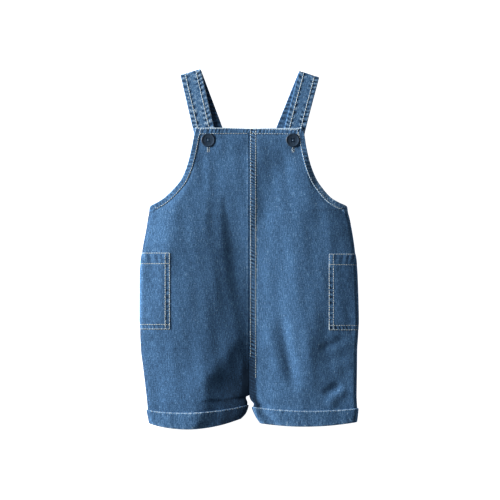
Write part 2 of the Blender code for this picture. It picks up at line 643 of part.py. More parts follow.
def cuff(half):
    loops = []
    for down, out in cuff_profile():
        height = half.cuff_top + (half.cuff_end - half.cuff_top) * down / CUFF_HEIGHT
        width = float(abs(half.curve("mid_x", height) - half.curve("side_x", height)))
        front = front_point(half, height, panel_columns(width, FRONT_MIDDLE, ARMHOLE_HEM, SEAM_STRIP), -out)
        back = back_point(half, height, back_columns(width), -out)
        loops.append(np.concatenate((front, back[::-1], front[:1])))
    return ring("cuff_" + half.name, np.array(loops))


for half in halves.values():
    cuff(half)


# --- Straps -----------------------------------------------------------------------------------

STRAP_ACROSS = np.array((-0.5, -0.25, 0.0, 0.25, 0.5))
TURN_ANGLES = np.radians((30, 60, 90, 120, 150))


def strap_run(points, rows):
    """Rows along one run of a strap, in its table's order: places, directions, heights."""
    table = np.array(points)
    length = np.concatenate(([0], np.cumsum(np.hypot(*np.diff(table[:, :2], axis=0).T))))
    at = np.linspace(0, length[-1] - STRAP_FOLD, rows)
    place = np.stack([smooth_curve(length, table[:, axis], at) for axis in range(3)], axis=-1)
    ahead = np.stack([smooth_curve(length, table[:, axis], at + 0.5) for axis in range(2)], axis=-1)
    behind = np.stack([smooth_curve(length, table[:, axis], at - 0.5) for axis in range(2)], axis=-1)
    direction = ahead - behind
    return place, direction / np.hypot(*direction.T)[:, None]


def strap(side):
    front, front_way = strap_run(STRAPS[side]["front"], STRAP_ROWS)
    back, back_way = strap_run(STRAPS[side]["back"][::-1], STRAP_ROWS)
    fold_way = front_way[-1] + back_way[-1]
    fold_way = fold_way / np.hypot(*fold_way)
    way = np.vstack((front_way, np.repeat(fold_way[None, :], len(TURN_ANGLES), axis=0), back_way[::-1]))
    near_fold = np.concatenate((
        np.linspace(0, 1, STRAP_ROWS) ** STRAP_LEVELLING,
        np.ones(len(TURN_ANGLES)),
        np.linspace(1, 0, STRAP_ROWS) ** STRAP_LEVELLING,
    ))
    way = way * (1 - near_fold[:, None]) + fold_way * near_fold[:, None]
    square = np.stack((way[:, 1], -way[:, 0]), axis=-1) / np.hypot(*way.T)[:, None]
    turn_middle = (front[-1, :2] + back[-1, :2]) / 2

    def layer(depth):
        radius = STRAP_FOLD - depth
        turn = np.zeros((len(TURN_ANGLES), 3))
        turn[:, :2] = turn_middle + np.outer(radius * np.sin(TURN_ANGLES), fold_way)
        turn[:, 2] = STRAP_FOLD + radius * np.cos(TURN_ANGLES)
        upper = front + np.array((0, 0, STRAP_WALL - depth))
        lower = back[::-1] + np.array((0, 0, depth))
        middle = np.vstack((upper, turn, lower))
        points = np.repeat(middle[:, None, :], len(STRAP_ACROSS), axis=1)
        points[..., :2] += STRAP_WIDTH * STRAP_ACROSS[None, :, None] * square[:, None, :]
        return points

    return wall("strap_" + side, layer(0.0), layer(STRAP_WALL))


for side in STRAPS:
    strap(side)


# --- Buttons ----------------------------------------------------------------------------------

def button(half):
    x, y = BUTTON_PLACES[half.name]
    builder = bmesh.new()
    profile = [builder.verts.new((r * MM, 0, z * MM)) for r, z in BUTTON_PROFILE]
    edges = [builder.edges.new(pair) for pair in zip(profile, profile[1:])]
    bmesh.ops.spin(
        builder, geom=profile + edges, cent=(0, 0, 0), axis=(0, 0, 1),
        angle=math.tau, steps=BUTTON_SIDES, use_merge=True,
    )
    bmesh.ops.remove_doubles(builder, verts=builder.verts, dist=0.00001)
    bmesh.ops.recalc_face_normals(builder, faces=builder.faces)
    disc = finish_object("button_" + half.name, builder, button_plastic)
    for number in range(BUTTON_HOLES):
        turn = math.tau * (number + 0.5) / BUTTON_HOLES
        spot = Vector((math.cos(turn), math.sin(turn), 0)) * BUTTON_HOLE_SPACING * MM / math.sqrt(2)
        drill = bmesh.new()
        bmesh.ops.create_cone(
            drill, cap_ends=True, segments=DRILL_SIDES, radius1=BUTTON_HOLE * MM, radius2=BUTTON_HOLE * MM,
            depth=DRILL_LENGTH * MM, matrix=Matrix.Translation(spot),
        )
        hole = finish_object(f"button_{half.name}_hole_{number + 1}", drill, button_plastic, cutters)
        hole.hide_render = True
        hole.display_type = "WIRE"
        hole.parent = disc
        cut = disc.modifiers.new(f"hole_{number + 1}", "BOOLEAN")
        cut.operation = "DIFFERENCE"
        cut.solver = "EXACT"
        cut.object = hole
    across = abs(half.curve("side_x", y) - x)
    turns = np.linspace(0, math.tau, RIM_POINTS, endpoint=False)
    rim = front_point(half, y + BUTTON_RADIUS * np.sin(turns), across + BUTTON_RADIUS * np.cos(turns), 0.0)
    centred = rim - rim.mean(axis=0)
    slope_x, slope_y = np.linalg.lstsq(centred[:, :2], centred[:, 2], rcond=None)[0]
    under = np.vstack((rim, front_point(half, np.array((y,)), np.array((across,)), 0.0)))
    rest = (under[:, 2] - slope_x * (under[:, 0] - x) - slope_y * (under[:, 1] - y)).max()
    normal = Vector((-slope_x, -slope_y, 1)).normalized()
    disc.location = Vector((x, y, rest + GAP)) * MM
    disc.rotation_euler = normal.to_track_quat("Z", "Y").to_euler()
    return disc


for half in halves.values():
    button(half)
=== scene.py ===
import math

import bmesh
import bpy
import numpy as np
from mathutils import Matrix, Vector
from mathutils.bvhtree import BVHTree


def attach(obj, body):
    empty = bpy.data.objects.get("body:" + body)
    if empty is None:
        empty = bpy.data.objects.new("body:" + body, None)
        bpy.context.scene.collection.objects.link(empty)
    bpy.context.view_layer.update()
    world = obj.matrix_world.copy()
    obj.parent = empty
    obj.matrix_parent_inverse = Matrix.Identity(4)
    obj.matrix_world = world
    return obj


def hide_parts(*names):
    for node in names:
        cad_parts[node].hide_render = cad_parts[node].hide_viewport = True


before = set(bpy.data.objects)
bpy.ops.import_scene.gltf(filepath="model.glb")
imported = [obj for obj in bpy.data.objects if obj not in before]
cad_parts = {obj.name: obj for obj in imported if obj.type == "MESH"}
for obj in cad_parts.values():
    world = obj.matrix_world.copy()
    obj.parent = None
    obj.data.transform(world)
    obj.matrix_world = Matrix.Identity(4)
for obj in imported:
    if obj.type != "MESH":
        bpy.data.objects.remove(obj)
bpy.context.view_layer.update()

# --- Camera -----------------------------------------------------------------------------------
# The dungarees lie flat on a table and are seen from straight above through a long lens, straps
# at the top. The view takes in 625 mm of the table each way.

VIEW_WIDTH = 0.625
VIEW_CENTRE = (0.001, -0.00225)
CAMERA_HEIGHT = 3.0
CAMERA_REACH = 20.0
SENSOR = 36.0


def placed(name, data):
    """A new object in the scene, at the origin."""
    thing = bpy.data.objects.new(name, data)
    bpy.context.scene.collection.objects.link(thing)
    return thing


lens = bpy.data.cameras.new("camera")
lens.sensor_width = SENSOR
lens.lens = SENSOR * CAMERA_HEIGHT / VIEW_WIDTH
lens.clip_end = CAMERA_REACH
camera = placed("camera", lens)
camera.location = (*VIEW_CENTRE, CAMERA_HEIGHT)
bpy.context.scene.camera = camera

# --- Floor and light --------------------------------------------------------------------------
# A white table that glows a little, so that shadows on it stay faint. A broad soft lamp low on
# the left models the folds, and a large weak one overhead fills the hollows.

FLOOR_SIZE = 6.0
FLOOR_DROP = 0.0002
FLOOR_SURFACE = {
    "Base Color": (0.86, 0.86, 0.86, 1), "Roughness": 0.9, "Specular IOR Level": 0.1,
    "Emission Color": (1, 1, 1, 1), "Emission Strength": 1.0,
}
KEY_PLACE, KEY_SIZE, KEY_POWER = (-2.8, 0.85, 0.58), 0.8, 375.0
FILL_PLACE, FILL_SIZE, FILL_POWER = (0.3, -0.2, 2.4), 2.2, 2.0
ROOM_LIGHT = {"Color": (0.97, 0.98, 1.0, 1), "Strength": 0.125}


def set_inputs(node, values):
    for socket, value in values.items():
        node.inputs[socket].default_value = value


def new_material(name, surface):
    """A material with these values on its shader."""
    material = bpy.data.materials.new(name)
    material.use_nodes = True
    set_inputs(material.node_tree.nodes["Principled BSDF"], surface)
    return material


def built_mesh(name, builder):
    mesh = bpy.data.meshes.new(name)
    builder.to_mesh(mesh)
    builder.free()
    return mesh


def soft_lamp(name, place, size, power):
    light = bpy.data.lights.new(name, "AREA")
    light.shape = "DISK"
    light.size = size
    light.energy = power
    lamp = placed(name, light)
    lamp.location = place
    lamp.rotation_euler = (-Vector(place)).to_track_quat("-Z", "Y").to_euler()


floor_builder = bmesh.new()
bmesh.ops.create_grid(floor_builder, x_segments=1, y_segments=1, size=FLOOR_SIZE / 2)
bmesh.ops.translate(floor_builder, verts=floor_builder.verts, vec=(0, 0, -FLOOR_DROP))
floor = placed("floor", built_mesh("floor", floor_builder))
floor.data.materials.append(new_material("white_table", FLOOR_SURFACE))
soft_lamp("key_lamp", KEY_PLACE, KEY_SIZE, KEY_POWER)
soft_lamp("fill_lamp", FILL_PLACE, FILL_SIZE, FILL_POWER)
world = bpy.data.worlds.new("studio")
world.use_nodes = True
set_inputs(world.node_tree.nodes["Background"], ROOM_LIGHT)
bpy.context.scene.world = world
bpy.context.scene.view_settings.view_transform = "Standard"

# --- Denim ------------------------------------------------------------------------------------
# Mid-blue cotton twill, washed, in fine upright streaks and flecks along the warp. Two vertex
# values shape it: "cloth", a point's place on the flat cloth in metres, warp along Y, and
# "wear_and_painted_light", which fades the ridges of the puckers and darkens their troughs. It
# also holds painted shade, darker at the left side fold, on the inner left leg and its turn-up,
# in the crotch and on the straps' undersides, and painted light, paler along the right armhole.

MM = 0.001
# Tone from 0 to 1, and the colour there.
DENIM_COLOURS = (
    (0.0, (0.009, 0.028, 0.062, 1)),
    (0.46, (0.038, 0.105, 0.220, 1)),
    (0.74, (0.094, 0.210, 0.375, 1)),
    (1.0, (0.400, 0.510, 0.610, 1)),
)
PLAIN_TONE, WEAR_SHARE = 0.46, 0.34
# Patterns in the cloth: their cells in metres, across and along, and their share in the tone.
STREAK_CELL, STREAK_SHARE = (0.0011, 0.0072), 0.92
FLECK_CELL, FLECK_SHARE = (0.0010, 0.0017), 1.25
CLOUD_CELL, CLOUD_SHARE = (0.016, 0.034), 0.16
TWILL_ANGLE = math.radians(28)
TWILL_WAVE = {"Scale": 360.0, "Distortion": 1.2, "Detail": 1.0}
TWILL_BUMP = {"Strength": 0.55, "Distance": 0.00022}
DENIM_SURFACE = {
    "Roughness": 0.92, "Specular IOR Level": 0.18, "Sheen Weight": 0.10, "Sheen Roughness": 0.55,
    "Sheen Tint": (0.62, 0.74, 0.88, 1),
}


def add_node(tree, kind, **values):
    node = tree.nodes.new(kind)
    for name, value in values.items():
        setattr(node, name, value)
    return node


def cloth_noise(tree, attribute, cell):
    """Noise whose cells are cell = (across, along) metres of cloth."""
    mapping = add_node(tree, "ShaderNodeMapping")
    mapping.inputs["Scale"].default_value = (1 / cell[0], 1 / cell[1], 1 / cell[0])
    noise = add_node(tree, "ShaderNodeTexNoise")
    set_inputs(noise, {"Scale": 1.0, "Detail": 2.0, "Roughness": 0.55})
    tree.links.new(attribute.outputs["Vector"], mapping.inputs["Vector"])
    tree.links.new(mapping.outputs["Vector"], noise.inputs["Vector"])
    return noise.outputs["Fac"]


def maths(tree, operation, first, second, clamp=False):
    node = add_node(tree, "ShaderNodeMath", operation=operation, use_clamp=clamp)
    for socket, value in zip(node.inputs, (first, second)):
        if isinstance(value, (int, float)):
            socket.default_value = value
        else:
            tree.links.new(value, socket)
    return node.outputs[0]


def colour_ramp(tree, tone, colours):
    """Colour of a tone, through a ramp of (place, colour) from the lowest to the highest."""
    node = add_node(tree, "ShaderNodeValToRGB")
    ramp = node.color_ramp
    for element, (place, colour) in zip(ramp.elements, (colours[0], colours[-1])):
        element.position, element.color = place, colour
    for place, colour in colours[1:-1]:
        ramp.elements.new(place).color = colour
    tree.links.new(tone, node.inputs["Fac"])
    return node.outputs["Color"]


def denim_material(name):
    material = new_material(name, DENIM_SURFACE)
    tree = material.node_tree
    shader = tree.nodes["Principled BSDF"]
    cloth = add_node(tree, "ShaderNodeAttribute", attribute_name="cloth")
    wear_and_painted_light = add_node(tree, "ShaderNodeAttribute", attribute_name="wear_and_painted_light")
    streaks, flecks = cloth_noise(tree, cloth, STREAK_CELL), cloth_noise(tree, cloth, FLECK_CELL)
    clouds = cloth_noise(tree, cloth, CLOUD_CELL)
    tone = maths(tree, "MULTIPLY", wear_and_painted_light.outputs["Fac"], WEAR_SHARE)
    for noise, share in ((streaks, STREAK_SHARE), (flecks, FLECK_SHARE), (clouds, CLOUD_SHARE)):
        uneven = maths(tree, "MULTIPLY", maths(tree, "SUBTRACT", noise, 0.5), share)
        tone = maths(tree, "ADD", tone, uneven)
    tone = maths(tree, "ADD", tone, PLAIN_TONE, clamp=True)
    tree.links.new(colour_ramp(tree, tone, DENIM_COLOURS), shader.inputs["Base Color"])
    twill = add_node(tree, "ShaderNodeMapping")
    twill.inputs["Rotation"].default_value = (0, 0, TWILL_ANGLE)
    wave = add_node(tree, "ShaderNodeTexWave", wave_type="BANDS", bands_direction="X")
    set_inputs(wave, TWILL_WAVE)
    tree.links.new(cloth.outputs["Vector"], twill.inputs["Vector"])
    tree.links.new(twill.outputs["Vector"], wave.inputs["Vector"])
    weave = maths(tree, "ADD", maths(tree, "MULTIPLY", wave.outputs["Fac"], 0.5), flecks)
    bump = add_node(tree, "ShaderNodeBump")
    set_inputs(bump, TWILL_BUMP)
    tree.links.new(weave, bump.inputs["Height"])
    tree.links.new(bump.outputs["Normal"], shader.inputs["Normal"])
    return material


denim = denim_material("washed_denim")

# --- Front panels -----------------------------------------------------------------------------
# Two panels from the bib to the leg, cut in 1 mm denim, with a folded hem at the top and round
# each armhole. The right-hand panel laps the left in a felled seam down the middle. A point of a
# panel is given by its height on the side line, its distance across, and its depth in the cloth.

CLOTH = 1.05
CLOTH_CREASE = math.radians(50)
GAP = 0.3  # between pieces that are sewn together
TOP_HEM, ARMHOLE_HEM, SEAM_STRIP = 7.4, 7.4, 8.75
HEM_RELIEF, STEP = 0.5, 0.8  # how far a hem stands up, and over what width
ARMHOLE_FOOT = 51.5
SEAM_LAP, SEAM_LAP_WIDTH = 1.1, 4.0  # how far the cloth leans over under the felled seam

# The side fold: the front comes down over ROLL_WIDTH and rolls round to the back.
ROLL_WIDTH = 5.0
ROLL_FRONT = 2.6
ROLL_BACK = 2.45
FOLD_MIDDLE = ROLL_BACK + GAP
INNER_FLAT = 0.65  # the inner leg's roll, as a share of the side's
SLOPE_STEP = 0.5

# The outline. height, side_x: the side line; mid_x, mid_y: the middle seam or inner leg; sag: how
# far the row bows down; fold, mid_fold: 1 where the edge rolls over to the back; edge_z, mid_z:
# height of the face at the two edges.
SECTION_COLUMNS = ("height", "side_x", "mid_x", "mid_y", "sag", "fold", "edge_z", "mid_z", "mid_fold")
LEFT_SECTIONS = (
    (150.9, -66.9, -0.45, 149.6, 0.6, 0.0, 5.5, 3.8, 0.0),
    (142.8, -68.7, -0.45, 142.0, 0.3, 0.0, 5.6, 4.6, 0.0),
    (127.8, -71.6, -0.45, 127.5, 0.0, 0.0, 5.6, 5.8, 0.0),
    (107.8, -76.3, -0.45, 107.0, 0.0, 0.0, 4.4, 6.8, 0.0),
    (87.8, -84.0, -0.45, 86.0, 0.0, 0.0, 3.9, 6.6, 0.0),
    (75.0, -93.8, -0.45, 71.0, 0.0, 0.0, 4.6, 6.6, 0.0),
    (62.8, -106.5, -0.45, 55.0, 0.0, 0.0, 5.0, 6.6, 0.0),
    (57.8, -114.0, -0.45, 48.0, 0.0, 0.15, 5.0, 6.5, 0.0),
    (51.5, -124.0, -0.45, 40.0, 0.0, 0.6, 4.0, 6.4, 0.0),
    (46.0, -124.5, -0.45, 33.5, 0.0, 1.0, 3.0, 6.3, 0.0),
    (22.8, -128.9, -0.45, 15.0, 0.0, 1.0, 3.0, 6.0, 0.0),
    (-5.3, -133.8, -0.45, -5.3, 0.0, 1.0, 3.0, 5.4, 0.0),
    (-37.3, -136.2, -0.45, -37.3, 0.0, 1.0, 3.0, 4.8, 0.0),
    (-101.4, -136.3, -0.45, -101.4, 0.0, 1.0, 3.0, 3.5, 0.0),
    (-127.3, -135.3, -0.45, -127.3, -0.5, 1.0, 3.0, 3.1, 0.0),
    (-147.3, -132.8, -0.45, -147.3, -1.0, 1.0, 3.0, 2.75, 0.0),
    (-174.0, -129.6, -0.45, -172.0, -2.5, 1.0, 3.0, 2.65, 0.0),
    (-186.0, -128.2, -0.8, -183.4, -4.0, 1.0, 3.0, 3.45, 0.0),
    (-188.4, -128.0, -4.8, -186.0, -4.2, 1.0, 3.0, 3.7, 0.5),
    (-191.5, -127.6, -3.4, -188.8, -4.6, 1.0, 3.0, 3.8, 0.9),
    (-197.0, -127.1, -2.1, -192.6, -5.2, 1.0, 3.0, 3.8, 1.0),
    (-201.6, -126.8, -2.2, -195.6, -5.8, 1.0, 3.0, 3.4, 1.0),
    (-210.35, -125.2, -5.0, -205.0, -8.0, 1.0, 3.0, 3.4, 1.0),
    (-219.1, -123.4, -12.0, -213.4, -9.2, 1.0, 3.0, 3.4, 1.0),
)
RIGHT_SECTIONS = (
    (151.1, 65.6, -0.15, 149.6, 0.3, 0.0, 5.5, 3.8, 0.0),
    (143.0, 68.7, -0.15, 142.0, 0.1, 0.0, 5.6, 4.6, 0.0),
    (127.8, 71.2, -0.15, 127.5, 0.0, 0.0, 5.6, 5.8, 0.0),
    (107.8, 75.8, -0.15, 107.0, 0.0, 0.0, 4.8, 6.8, 0.0),
    (87.8, 83.3, -0.15, 86.0, 0.0, 0.0, 4.4, 6.6, 0.0),
    (75.0, 91.6, -0.15, 71.0, 0.0, 0.0, 5.8, 6.6, 0.0),
    (62.8, 102.6, -0.15, 55.0, 0.0, 0.0, 6.3, 6.6, 0.0),
    (57.8, 110.8, -0.15, 48.0, 0.0, 0.15, 6.4, 6.5, 0.0),
    (51.5, 122.2, -0.15, 40.0, 0.0, 0.6, 5.4, 6.4, 0.0),
    (46.0, 122.8, -0.15, 33.5, 0.0, 1.0, 3.0, 6.3, 0.0),
    (22.8, 128.3, -0.15, 15.0, 0.0, 1.0, 3.0, 6.0, 0.0),
    (-6.5, 132.4, -0.15, -6.5, 0.0, 1.0, 3.0, 5.4, 0.0),
    (-37.3, 134.8, -0.15, -37.3, 0.0, 1.0, 3.0, 4.8, 0.0),
    (-102.5, 136.3, -0.15, -102.5, 0.0, 1.0, 3.0, 3.5, 0.0),
    (-127.3, 135.0, -0.15, -127.3, -0.5, 1.0, 3.0, 3.1, 0.0),
    (-147.3, 134.8, -0.15, -147.3, -1.0, 1.0, 3.0, 2.75, 0.0),
    (-174.0, 134.4, -0.15, -172.5, -2.0, 1.0, 3.0, 2.65, 0.0),
    (-186.0, 134.2, 0.2, -184.5, -2.6, 1.0, 3.0, 3.45, 0.0),
    (-190.0, 134.4, 1.6, -189.0, -2.8, 1.0, 3.0, 3.7, 0.7),
    (-196.0, 134.7, 5.8, -194.8, -3.4, 1.0, 3.0, 3.8, 1.0),
    (-199.6, 134.9, 4.9, -198.0, -3.8, 1.0, 3.0, 3.4, 1.0),
    (-208.45, 134.2, 8.8, -208.8, -4.4, 1.0, 3.0, 3.4, 1.0),
    (-217.3, 133.1, 15.4, -219.0, -4.4, 1.0, 3.0, 3.4, 1.0),
)

# How the front stands up over the body: distance from the middle, and height, of the foot of the
# middle valley, its slope, the crest and the shoulder, from the bib down to the turn-up.
FORM_COLUMNS = (
    "height", "foot_in", "foot_z", "slope_in", "slope_z",
    "crest_in", "crest_z", "shoulder_in", "shoulder_z",
)
LEFT_FORM = (
    (151.0, 14.0, 3.9, 34.0, 4.9, 50.0, 5.4, 58.0, 5.5),
    (128.0, 14.0, 6.5, 32.0, 6.6, 50.0, 5.5, 60.0, 5.7),
    (110.0, 16.0, 6.2, 36.0, 5.3, 56.0, 4.9, 66.0, 5.4),
    (90.0, 24.0, 6.0, 38.0, 5.7, 52.0, 5.4, 68.0, 6.0),
    (65.0, 26.0, 6.2, 36.0, 7.3, 54.0, 7.8, 82.0, 8.3),
    (40.0, 23.0, 6.5, 36.0, 8.4, 57.0, 9.6, 90.0, 10.5),
    (10.0, 18.0, 6.3, 34.0, 8.7, 60.0, 11.0, 90.0, 11.9),
    (-20.0, 14.0, 5.5, 32.0, 8.0, 60.0, 10.8, 90.0, 11.2),
    (-60.0, 10.0, 4.9, 30.0, 8.3, 60.0, 11.6, 92.0, 12.0),
    (-90.0, 9.0, 4.9, 31.0, 8.4, 60.0, 11.2, 92.0, 11.5),
    (-115.0, 10.0, 5.2, 31.0, 9.0, 60.0, 11.1, 90.0, 11.2),
    (-140.0, 10.0, 5.1, 28.0, 8.1, 58.0, 11.5, 90.0, 10.6),
    (-165.0, 11.0, 4.9, 30.0, 7.5, 58.0, 12.9, 88.0, 10.6),
    (-188.0, 13.0, 7.0, 33.0, 8.8, 57.0, 13.0, 92.0, 10.6),
    (-219.0, 13.0, 6.8, 38.0, 8.4, 62.0, 11.2, 94.0, 9.6),
)
RIGHT_FORM = (
    (151.0, 14.0, 3.9, 34.0, 4.8, 50.0, 5.3, 58.0, 5.4),
    (128.0, 24.0, 5.6, 40.0, 5.9, 54.0, 5.4, 62.0, 5.4),
    (110.0, 30.0, 5.3, 44.0, 4.8, 60.0, 6.3, 68.0, 6.2),
    (90.0, 28.0, 5.3, 44.0, 6.1, 62.0, 7.9, 72.0, 7.5),
    (65.0, 18.0, 6.1, 40.0, 7.0, 70.0, 9.2, 88.0, 8.3),
    (40.0, 8.0, 5.8, 34.0, 7.9, 64.0, 9.4, 96.0, 8.1),
    (10.0, 4.0, 5.7, 30.0, 7.7, 58.0, 10.2, 98.0, 9.5),
    (-20.0, 5.0, 4.9, 32.0, 7.5, 64.0, 10.9, 98.0, 10.5),
    (-60.0, 4.0, 4.1, 32.0, 6.6, 66.0, 10.8, 98.0, 10.0),
    (-90.0, 4.0, 3.3, 34.0, 6.5, 74.0, 11.5, 100.0, 9.3),
    (-115.0, 5.0, 2.6, 26.0, 5.6, 76.0, 10.0, 102.0, 8.7),
    (-140.0, 5.5, 2.45, 18.0, 3.9, 76.0, 8.7, 114.0, 6.0),
    (-165.0, 6.0, 2.45, 16.0, 4.1, 72.0, 8.8, 116.0, 6.2),
    (-188.0, 7.5, 3.7, 18.0, 5.6, 60.0, 9.3, 112.0, 7.6),
    (-219.0, 16.0, 5.4, 34.0, 9.0, 58.0, 10.2, 100.0, 9.0),
)

# Soft folds of the front: ridge (height above 0) or trough, from one point to another, bowed to
# its left by bow, with its width to each side of its middle line.
FOLD_COLUMNS = ("start_x", "start_y", "end_x", "end_y", "bow", "width", "height")
FOLDS = (
    (-52.0, 120.0, -55.0, 15.0, 2.0, 6.0, 0.5),
    (40.0, -74.0, 60.0, -182.0, -3.0, 8.0, -2.1),
    (72.0, -96.0, 78.0, -150.0, 0.0, 9.0, 0.6),
    (20.0, -78.0, 38.0, -168.0, 0.0, 6.0, 0.7),
    (126.0, -110.0, 84.0, -128.0, 0.0, 6.0, -1.0),
    (140.0, -138.0, 98.0, -152.0, 0.0, 8.0, 0.6),
    (118.0, -168.0, 90.0, -184.0, 0.0, 5.5, -1.2),
    (124.0, -172.0, 95.0, -198.0, 0.0, 6.5, 1.0),
    (-128.0, -108.0, -92.0, -122.0, -2.0, 6.0, -0.6),
    (0.0, -96.0, -66.0, -182.0, 0.0, 11.0, 0.9),
)
FOLD_TAPER = 0.3
EDGE_CALM = 14.0
# Slow waves: height, turn for each mm over and along, start.
SLOW_WAVES = (
    (0.16, 0.11, 0.045, 0.7),
    (0.13, 0.19, -0.030, 2.1),
    (0.10, 0.02, 0.083, 4.0),
    (0.06, 0.37, 0.061, 1.3),
)

# Puckers between an edge and its inner row of stitches: from ridge to ridge, slant across the
# band, the band's width, and how softly they end past the row.
HEM_BAND, SEAM_BAND = 6.6, 8.0
TOP_PUCKERS = 5.0, 0.25, HEM_BAND, 2.2
ARMHOLE_PUCKERS = 4.6, 0.35, HEM_BAND, 2.0
SEAM_PUCKERS = 4.3, 0.5, SEAM_BAND, 1.2
LAP_PUCKER, LAP_PUCKER_WIDTH, LAP_PUCKER_SIZE, LAP_PUCKER_WEAR = 6.0, 2.0, 0.3, 0.25
HEM_PUCKER_SIZE, PUCKER_RELIEF = 0.8, 0.22
BAND_FULLNESS, PAST_ROW, ROW_PINCH = 0.6, 0.55, 1.2
STRIP_RELIEF, STRIP_RISE = 0.5, 5.0  # the felled seam's strip: height, and width of its slope

# Wear and painted light: 0 is the plain blue, 1 is pale, and below 0 is darker, the unfaded
# indigo in the puckers' troughs and painted shade where a mark is named so. A pair of a place and
# a fade says where such a mark starts, and over what distance it comes in.
RIDGE_WEAR, TROUGH_SHADE = 0.5, 1.25
HEM_BLOTCHES, SEAM_BLOTCHES = 1.15, 2.0
TOP_EDGE_WEAR, ARMHOLE_EDGE_WEAR = 1.9, 1.1
# Painted light: the right half is paler along its armhole hem, down towards the underarm.
ARMHOLE_PAINTED_LIGHT, ARMHOLE_PAINTED_LIGHT_DOWN = 0.6, (75.0, 90.0)
STRIP_SHADE, STRIP_LINE, STRIP_LINE_WEAR, STRIP_LINE_END = 0.1, 9.6, 0.8, (-60.0, 80.0)
LAP_LINE, LAP_LINE_WEAR = 2.2, 0.5
# Painted shade: the left half and the left turn-up are darker at the side fold.
SIDE_PAINTED_SHADE, SIDE_PAINTED_SHADE_WIDTH = 1.1, 4.5
# Painted shade on the inner side of the left leg, towards the crotch.
LEG_PAINTED_SHADE, LEG_PAINTED_SHADE_DOWN, LEG_PAINTED_SHADE_ACROSS = 0.9, (-138.0, 42.0), (18.0, 28.0)
# Painted shade: the left leg is darker from its middle downwards.
LEFT_LEG_PAINTED_SHADE, LEFT_LEG_PAINTED_SHADE_DOWN = 0.16, (-70.0, 60.0)
# Painted shade in the deep hollow at the crotch, beside the middle seam.
PIT_PAINTED_SHADE, PIT_DOWN, PIT_ACROSS = 1.3, (-118.0, 40.0), (5.0, 6.0)  # the hollow at the crotch
PIT_CALM = 0.7

# The grid of the cloth.
FRONT_ROW_PITCH, FRONT_MIDDLE_COLUMNS = 1.15, 58
HEM_PITCH, HEM_MARGIN = 0.62, 2.0
SEAM_PITCH, SEAM_MARGIN = 0.7, 1.2
ROLL_STEPS = 9
FAR_IN = 9.0  # too far from an edge to round down

# What the back stands on: the pockets' and turn-ups' cloth, and how softly it rises on to them.
CUFF_TOP_ROW = -3  # the turn-up's upper edge in the tables of sections
POCKET_WALL = 1.2
POCKET_LIFT = GAP + POCKET_WALL
POCKETS = {"left": (-5.3, -101.4, 98.6), "right": (-6.5, -102.5, 99.0)}  # top, bottom, inner x
LIFT_MARGIN = 2.0
LIFT_FADE = 24.0
CUFF_WALL = 1.4
CUFF_LIFT = GAP + CUFF_WALL
CUFF_HEIGHT = 17.8
CUFF_RETURN = 4.8
CUFF_LIFT_FADE = 30.0


def table_column(table, columns, name):
    place = columns.index(name)
    return np.array([row[place] for row in table], float)


def monotone_slopes(rise):
    """Slopes at the stations from the rises between them, so that a curve never overshoots."""
    before, after = rise[..., :-1], rise[..., 1:]
    same_way = before * after > 0
    total = np.where(same_way, before + after, 1.0)
    inner = np.where(same_way, 2 * before * after / total, 0.0)
    return np.concatenate((rise[..., :1], inner, rise[..., -1:]), axis=-1)


def hermite(t, length, value, next_value, slope, next_slope):
    return (
        value * (1 + 2 * t) * (1 - t) ** 2
        + length * slope * t * (1 - t) ** 2
        + next_value * t * t * (3 - 2 * t)
        - length * next_slope * t * t * (1 - t)
    )


def smooth_curve(stations, values, at):
    """Monotone cubic through the values at rising stations."""
    stations, values = np.asarray(stations, float), np.asarray(values, float)
    length = np.diff(stations)
    slope = monotone_slopes(np.diff(values) / length)
    at = np.clip(at, stations[0], stations[-1])
    span = np.clip(np.searchsorted(stations, at, side="right") - 1, 0, len(length) - 1)
    t = (at - stations[span]) / length[span]
    return hermite(t, length[span], values[span], values[span + 1], slope[span], slope[span + 1])


def level_curve(places, levels, at):
    """The same, where each point has its own stations and levels, along the last axis."""
    length = np.diff(places, axis=-1)
    slope = monotone_slopes(np.diff(levels, axis=-1) / length)
    span = np.clip((at[..., None] >= places[..., 1:-1]).sum(axis=-1), 0, length.shape[-1] - 1)

    def pick(array, place):
        return np.take_along_axis(array, place[..., None], axis=-1)[..., 0]

    t = (np.clip(at, places[..., 0], places[..., -1]) - pick(places, span)) / pick(length, span)
    ends = pick(levels, span), pick(levels, span + 1), pick(slope, span), pick(slope, span + 1)
    return hermite(t, pick(length, span), *ends)


def eased(x):
    x = np.clip(x, 0.0, 1.0)
    return x * x * (3 - 2 * x)


def plateau(x, low, high, fade):
    return eased(1 - np.maximum(low - x, 0) / fade) * eased(1 - np.maximum(x - high, 0) / fade)


class Half:
    """The left or right half of the body, as curves of the height on its side line."""

    def __init__(self, name, sign, sections, form):
        self.name, self.sign, self.curves = name, sign, {}
        for table, columns in ((sections, SECTION_COLUMNS), (form, FORM_COLUMNS)):
            stations = table_column(table, columns, "height")[::-1]
            for column in columns[1:]:
                self.curves[column] = stations, table_column(table, columns, column)[::-1]
        self.stations = self.curves["side_x"][0]
        self.top = self.stations[-1]
        self.cuff_top, self.cuff_end = sections[CUFF_TOP_ROW][0], sections[-1][0]
        self.panel_end = self.cuff_top + (self.cuff_end - self.cuff_top) * (1 - CUFF_RETURN / CUFF_HEIGHT)

    def curve(self, column, height):
        return smooth_curve(*self.curves[column], height)


halves = {
    "left": Half("left", -1.0, LEFT_SECTIONS, LEFT_FORM),
    "right": Half("right", 1.0, RIGHT_SECTIONS, RIGHT_FORM),
}


